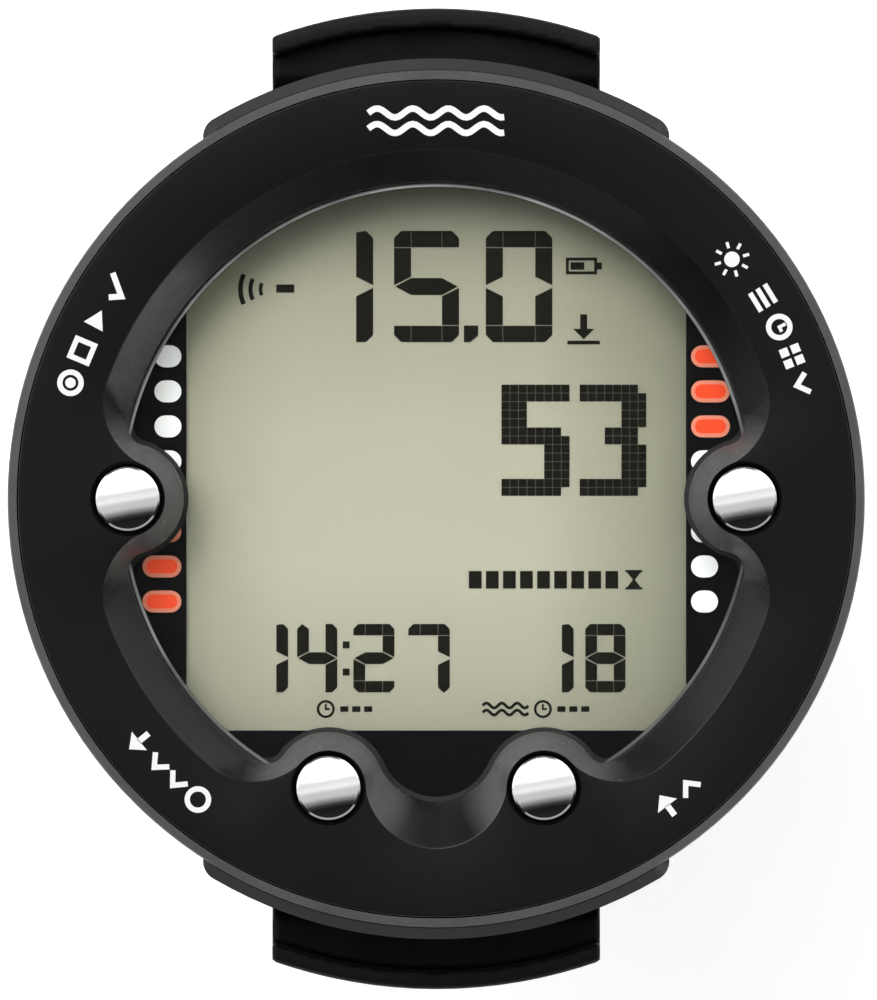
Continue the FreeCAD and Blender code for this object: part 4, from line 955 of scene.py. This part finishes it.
def symbol_prints():
    """White printed symbols beside the buttons, in place of words."""
    w = 0.42
    tick = stroke([(-0.85, 0.05), (-0.25, -0.75), (0.95, 0.85)], w + 0.04)
    ring = ring_shape(0, 0, 0.85, w)
    dot = [circle(0, 0, 0.42)]
    play = [[(-0.6, -0.85), (0.85, 0.0), (-0.6, 0.85)]]
    bars = [rectangle(-0.85, k * 0.68 - 0.2, 0.85, k * 0.68 + 0.2) for k in (-1, 0, 1)]
    frame_box = stroke([(-0.75, -0.75), (0.75, -0.75), (0.75, 0.75), (-0.75, 0.75)], w, True)
    hands = stroke([(0, 0.55), (0, 0), (0.42, 0)], 0.26)
    grid = [rectangle(i * 0.95 - 0.85, j * 0.95 - 0.85, i * 0.95 - 0.15, j * 0.95 - 0.15)
            for i in (0, 1) for j in (0, 1)]
    arrow_up = [[(-0.95, -0.05), (0.95, -0.05), (0, 1.0)], rectangle(-0.24, -1.0, 0.24, 0.0)]
    arrow_down = [[(x, -y) for x, y in reversed(shape)] for shape in arrow_up]
    chevron_up = stroke([(-0.8, -0.45), (0, 0.45), (0.8, -0.45)], w)
    chevron_down = stroke([(-0.8, 0.45), (0, -0.45), (0.8, 0.45)], w)

    shapes = []
    radius = 30.5
    for clock, icon in ((287.6, ring + dot), (292.7, frame_box), (297.8, play), (303.2, tick)):
        shapes += put(icon, clock, radius)
    for clock, icon in ((58.4, bars), (63.4, ring + hands), (68.2, grid), (72.6, chevron_down)):
        shapes += put(icon, clock, radius)
    for clock, icon in ((138.7, chevron_up), (143.0, arrow_up)):
        shapes += put(icon, clock, radius, True)
    for clock, icon in ((218.4, ring), (222.6, chevron_down), (226.4, chevron_down),
                        (230.8, arrow_down)):
        shapes += put(icon, clock, radius, True)
    sun = [circle(0, 0, 0.62)]
    for k in range(8):
        a = math.radians(45 * k + 22.5)
        ray = [(math.cos(a) * r, math.sin(a) * r) for r in (0.92, 1.42)]
        sun += stroke(ray, 0.24)
    shapes += put(sun, 51.0, 30.25)
    for row in (0.62, -0.62):
        wave = [(-5.4 + k * 0.27, row + 0.36 * math.sin(k * 0.6)) for k in range(41)]
        shapes += put(stroke(wave, 0.5), 0.0, 30.05)

    verts, faces = [], []
    for outline in shapes:
        slab(outline, BEZEL_TOP - 0.01, BEZEL_TOP + 0.018, verts, faces)
    piece("symbol_prints", verts, faces, "print_white", smooth=False)


# ---------------------------------------------------------------- strap

STRAP_START, STRAP_HEADING = (35.6, 7.0), -90.0
BUCKLE_RUNS = [(13.0, 0), (30.5, -25), (27.2, -65), (22.0, 0)]
TAIL_RUNS = [(8.5, 0), (30.5, -25), (23.8, -65), (17.3, 0), (20.1, -65), (27.8, -25)]


def strap_line(runs):
    """Points, directions and distances along a strap's middle line, as arrays of (y, z)."""
    step = 0.25
    y, z = STRAP_START
    angle = math.radians(STRAP_HEADING)
    points, headings, along = [(y, z)], [angle], [0.0]
    for length, turn in runs:
        count = max(int(length / step), 1)
        for _ in range(count):
            part = math.radians(turn) / count
            y += math.cos(angle + part / 2) * length / count
            z += math.sin(angle + part / 2) * length / count
            angle += part
            points.append((y, z))
            headings.append(angle)
            along.append(along[-1] + length / count)
    return np.array(points), np.array(headings), np.array(along)


def strap_place(co, runs, mirrored):
    """Distance along the strap, height above its middle and outward direction, per vertex."""
    points, headings, along = strap_line(runs)
    yz = co[:, 1:] / MM
    if mirrored:
        yz = yz * np.array([-1, 1])
    nearest = np.empty(len(yz), int)
    for s in range(0, len(yz), 4000):
        gap = ((yz[s:s + 4000, None] - points[None]) ** 2).sum(2)
        nearest[s:s + 4000] = gap.argmin(1)
    out = np.stack([-np.sin(headings), np.cos(headings)], 1)[nearest]
    height = ((yz - points[nearest]) * out).sum(1)
    ahead = np.stack([np.cos(headings), np.sin(headings)], 1)[nearest]
    distance = along[nearest] + ((yz - points[nearest]) * ahead).sum(1)
    if mirrored:
        out = out * np.array([-1, 1])
    return distance, height, out


def soft_copy(node, name, voxel, body):
    """A remeshed copy of a CAD node with its edges moulded round, which stands for it."""
    obj = bpy.data.objects.new(name, NODES[node].data.copy())
    bpy.context.scene.collection.objects.link(obj)
    mesh = bmesh.new()
    mesh.from_mesh(obj.data)
    bmesh.ops.remove_doubles(mesh, verts=mesh.verts, dist=1e-6)
    mesh.to_mesh(obj.data)
    mesh.free()
    remesh = obj.modifiers.new("remesh", "REMESH")
    remesh.mode = "VOXEL"
    remesh.voxel_size = voxel * MM
    smooth = obj.modifiers.new("smooth", "SMOOTH")
    smooth.factor = 0.5
    smooth.iterations = 3
    snap = obj.modifiers.new("snap", "SHRINKWRAP")
    snap.target = NODES[node]
    relax = obj.modifiers.new("relax", "SMOOTH")
    relax.factor = 0.35
    relax.iterations = 1
    bpy.context.view_layer.update()
    done = bpy.data.meshes.new_from_object(
        obj.evaluated_get(bpy.context.evaluated_depsgraph_get())
    )
    obj.modifiers.clear()
    obj.data = done
    done.materials.clear()
    done.materials.append(MATERIALS["strap_rubber"])
    for polygon in done.polygons:
        polygon.material_index = 0
        polygon.use_smooth = True
    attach(obj, body)
    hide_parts(node)
    return obj


def groove(x, centre, width, depth):
    """Depth of a round-bottomed groove at a distance x from its centre."""
    t = np.clip(1 - ((x - centre) / (width / 2)) ** 2, 0, 1)
    return depth * t * t


def strap_halves():
    """The two moulded strap halves, with rounded edges, side channels and a ribbed inside."""
    fade_length, rib_pitch, rib_reach = 4.0, 3.1, 9.4
    band_start = 35.0
    for node, runs, mirrored, body, plain_end in (
        ("strap_buckle_half", BUCKLE_RUNS, False, "strap_buckle", 16.0),
        ("strap_tail_half", TAIL_RUNS, True, "strap_tail", 11.0),
    ):
        voxel = 0.34
        half = soft_copy(node, node.replace("_half", "_moulding"), voxel, body)
        co = np.empty(len(half.data.vertices) * 3)
        half.data.vertices.foreach_get("co", co)
        co = co.reshape(-1, 3)
        distance, height, out = strap_place(co, runs, mirrored)
        band_end = sum(length for length, _ in runs) - plain_end
        x = np.abs(co[:, 0]) / MM
        on_band = (distance > band_start) & (distance < band_end)
        fade = np.clip((distance - band_start) / fade_length, 0, 1)
        fade = fade * np.clip((band_end - distance) / fade_length, 0, 1)
        cut = np.where(on_band & (height > 0.6), groove(x, 8.6, 1.5, 0.42) * fade, 0)
        rib = groove(distance % rib_pitch, rib_pitch / 2, 1.5, 0.35) * fade
        rib = rib * np.clip((rib_reach - x) / 0.8, 0, 1)
        ribs = np.where(on_band & (height < -0.9), rib, 0)
        co[:, 1:] += out * ((ribs - cut) * MM)[:, None]
        half.data.vertices.foreach_set("co", co.ravel())
        half.data.update()


def keeper_loops():
    """The two keepers, moulded from the same rubber as the strap."""
    for node, body in (("keeper_fixed", "strap_buckle"), ("keeper_sliding", "keeper")):
        soft_copy(node, node.replace("keeper", "keeper_loop"), 0.26, body)


# ---------------------------------------------------------------- stage, light and camera


def stage_and_light():
    """A pale floor, low enough for the strap to swing open, and soft light from 12 o'clock."""
    bpy.context.scene.view_settings.view_transform = "Standard"
    swing_room, size = 19 * MM, 3.0
    low = CAD_LOW.z - swing_room
    mesh = bpy.data.meshes.new("floor")
    corners = [(x * size, y * size, low) for x, y in ((-1, -1), (1, -1), (1, 1), (-1, 1))]
    mesh.from_pydata(corners, [], [(0, 1, 2, 3)])
    floor = bpy.data.objects.new("floor", mesh)
    bpy.context.scene.collection.objects.link(floor)
    paper = Finish("paper", (0.93, 0.93, 0.93), 0.9, specular=0.1)
    paper.mottle(0.02, 0.01)
    paper.set("Emission Color", (1, 1, 1, 1))
    paper.set("Emission Strength", 0.42)
    mesh.materials.append(paper.material)

    world = bpy.data.worlds.new("studio")
    world.use_nodes = True
    bpy.context.scene.world = world
    tree = world.node_tree
    background = tree.nodes["Background"]
    place = tree.nodes.new("ShaderNodeTexCoord")
    ramp = tree.nodes.new("ShaderNodeValToRGB")
    scale = tree.nodes.new("ShaderNodeMapRange")
    scale.inputs["From Min"].default_value = -1.0
    scale.inputs["From Max"].default_value = 1.0
    turn = tree.nodes.new("ShaderNodeVectorMath")
    turn.operation = "DOT_PRODUCT"
    turn.inputs[1].default_value = (-0.17, 0.985, 0.0)
    tree.links.new(place.outputs["Generated"], turn.inputs[0])
    tree.links.new(turn.outputs["Value"], scale.inputs["Value"])
    tree.links.new(scale.outputs["Result"], ramp.inputs[0])
    tree.links.new(ramp.outputs[0], background.inputs["Color"])
    background.inputs["Strength"].default_value = 1.0
    # brightness by how far a direction leans towards 12 o'clock, from -1 at 6 o'clock to 1
    levels = [(-1.0, 0.05), (-0.94, 0.4), (-0.68, 0.4), (-0.62, 0.02), (-0.42, 0.01),
              (-0.35, 0.05), (-0.27, 0.28), (-0.22, 0.5), (-0.2, 0.58), (-0.09, 0.62),
              (-0.01, 0.96), (0.12, 0.8), (0.2, 1.3), (0.72, 1.5), (0.84, 0.15), (0.94, 0.2),
              (1.0, 1.2)]
    fill_ramp(ramp.color_ramp, [((lean + 1) / 2, level) for lean, level in levels])

    def softbox(name, at, aim, size, power):
        light = bpy.data.lights.new(name, "AREA")
        light.shape = "RECTANGLE"
        light.size, light.size_y = size
        light.energy = power
        lamp = bpy.data.objects.new(name, light)
        lamp.location = at
        lamp.rotation_euler = (Vector(aim) - Vector(at)).to_track_quat("-Z", "Y").to_euler()
        lamp.visible_camera = False
        bpy.context.scene.collection.objects.link(lamp)

    softbox("key", (-0.25, 0.4, 0.65), (0, 0, 0.0), (0.6, 0.4), 2.4)
    softbox("fill", (0.7, -0.4, 0.12), (0, 0, 0.02), (0.4, 0.22), 0.9)


def camera():
    """Straight above the face and far away, framed as in the photograph."""
    data = bpy.data.cameras.new("camera")
    eye = bpy.data.objects.new("camera", data)
    distance = 2.8
    span = 79.49 * MM
    aside, below = 0.183 * MM, 0.095 * MM
    data.sensor_fit = "AUTO"
    data.sensor_width = 36.0
    data.lens = 36.0 * distance / span
    data.clip_start, data.clip_end = 0.05, 20.0
    eye.location = (aside, -below, BEZEL_TOP * MM + distance)
    eye.rotation_euler = (0, 0, 0)
    bpy.context.scene.collection.objects.link(eye)
    bpy.context.scene.camera = eye


paint_nodes()
bezel_ring()
button_caps()
return_springs()
lens_pane()
marker_rows()
display_segments()
symbol_prints()
strap_halves()
keeper_loops()
stage_and_light()
camera()
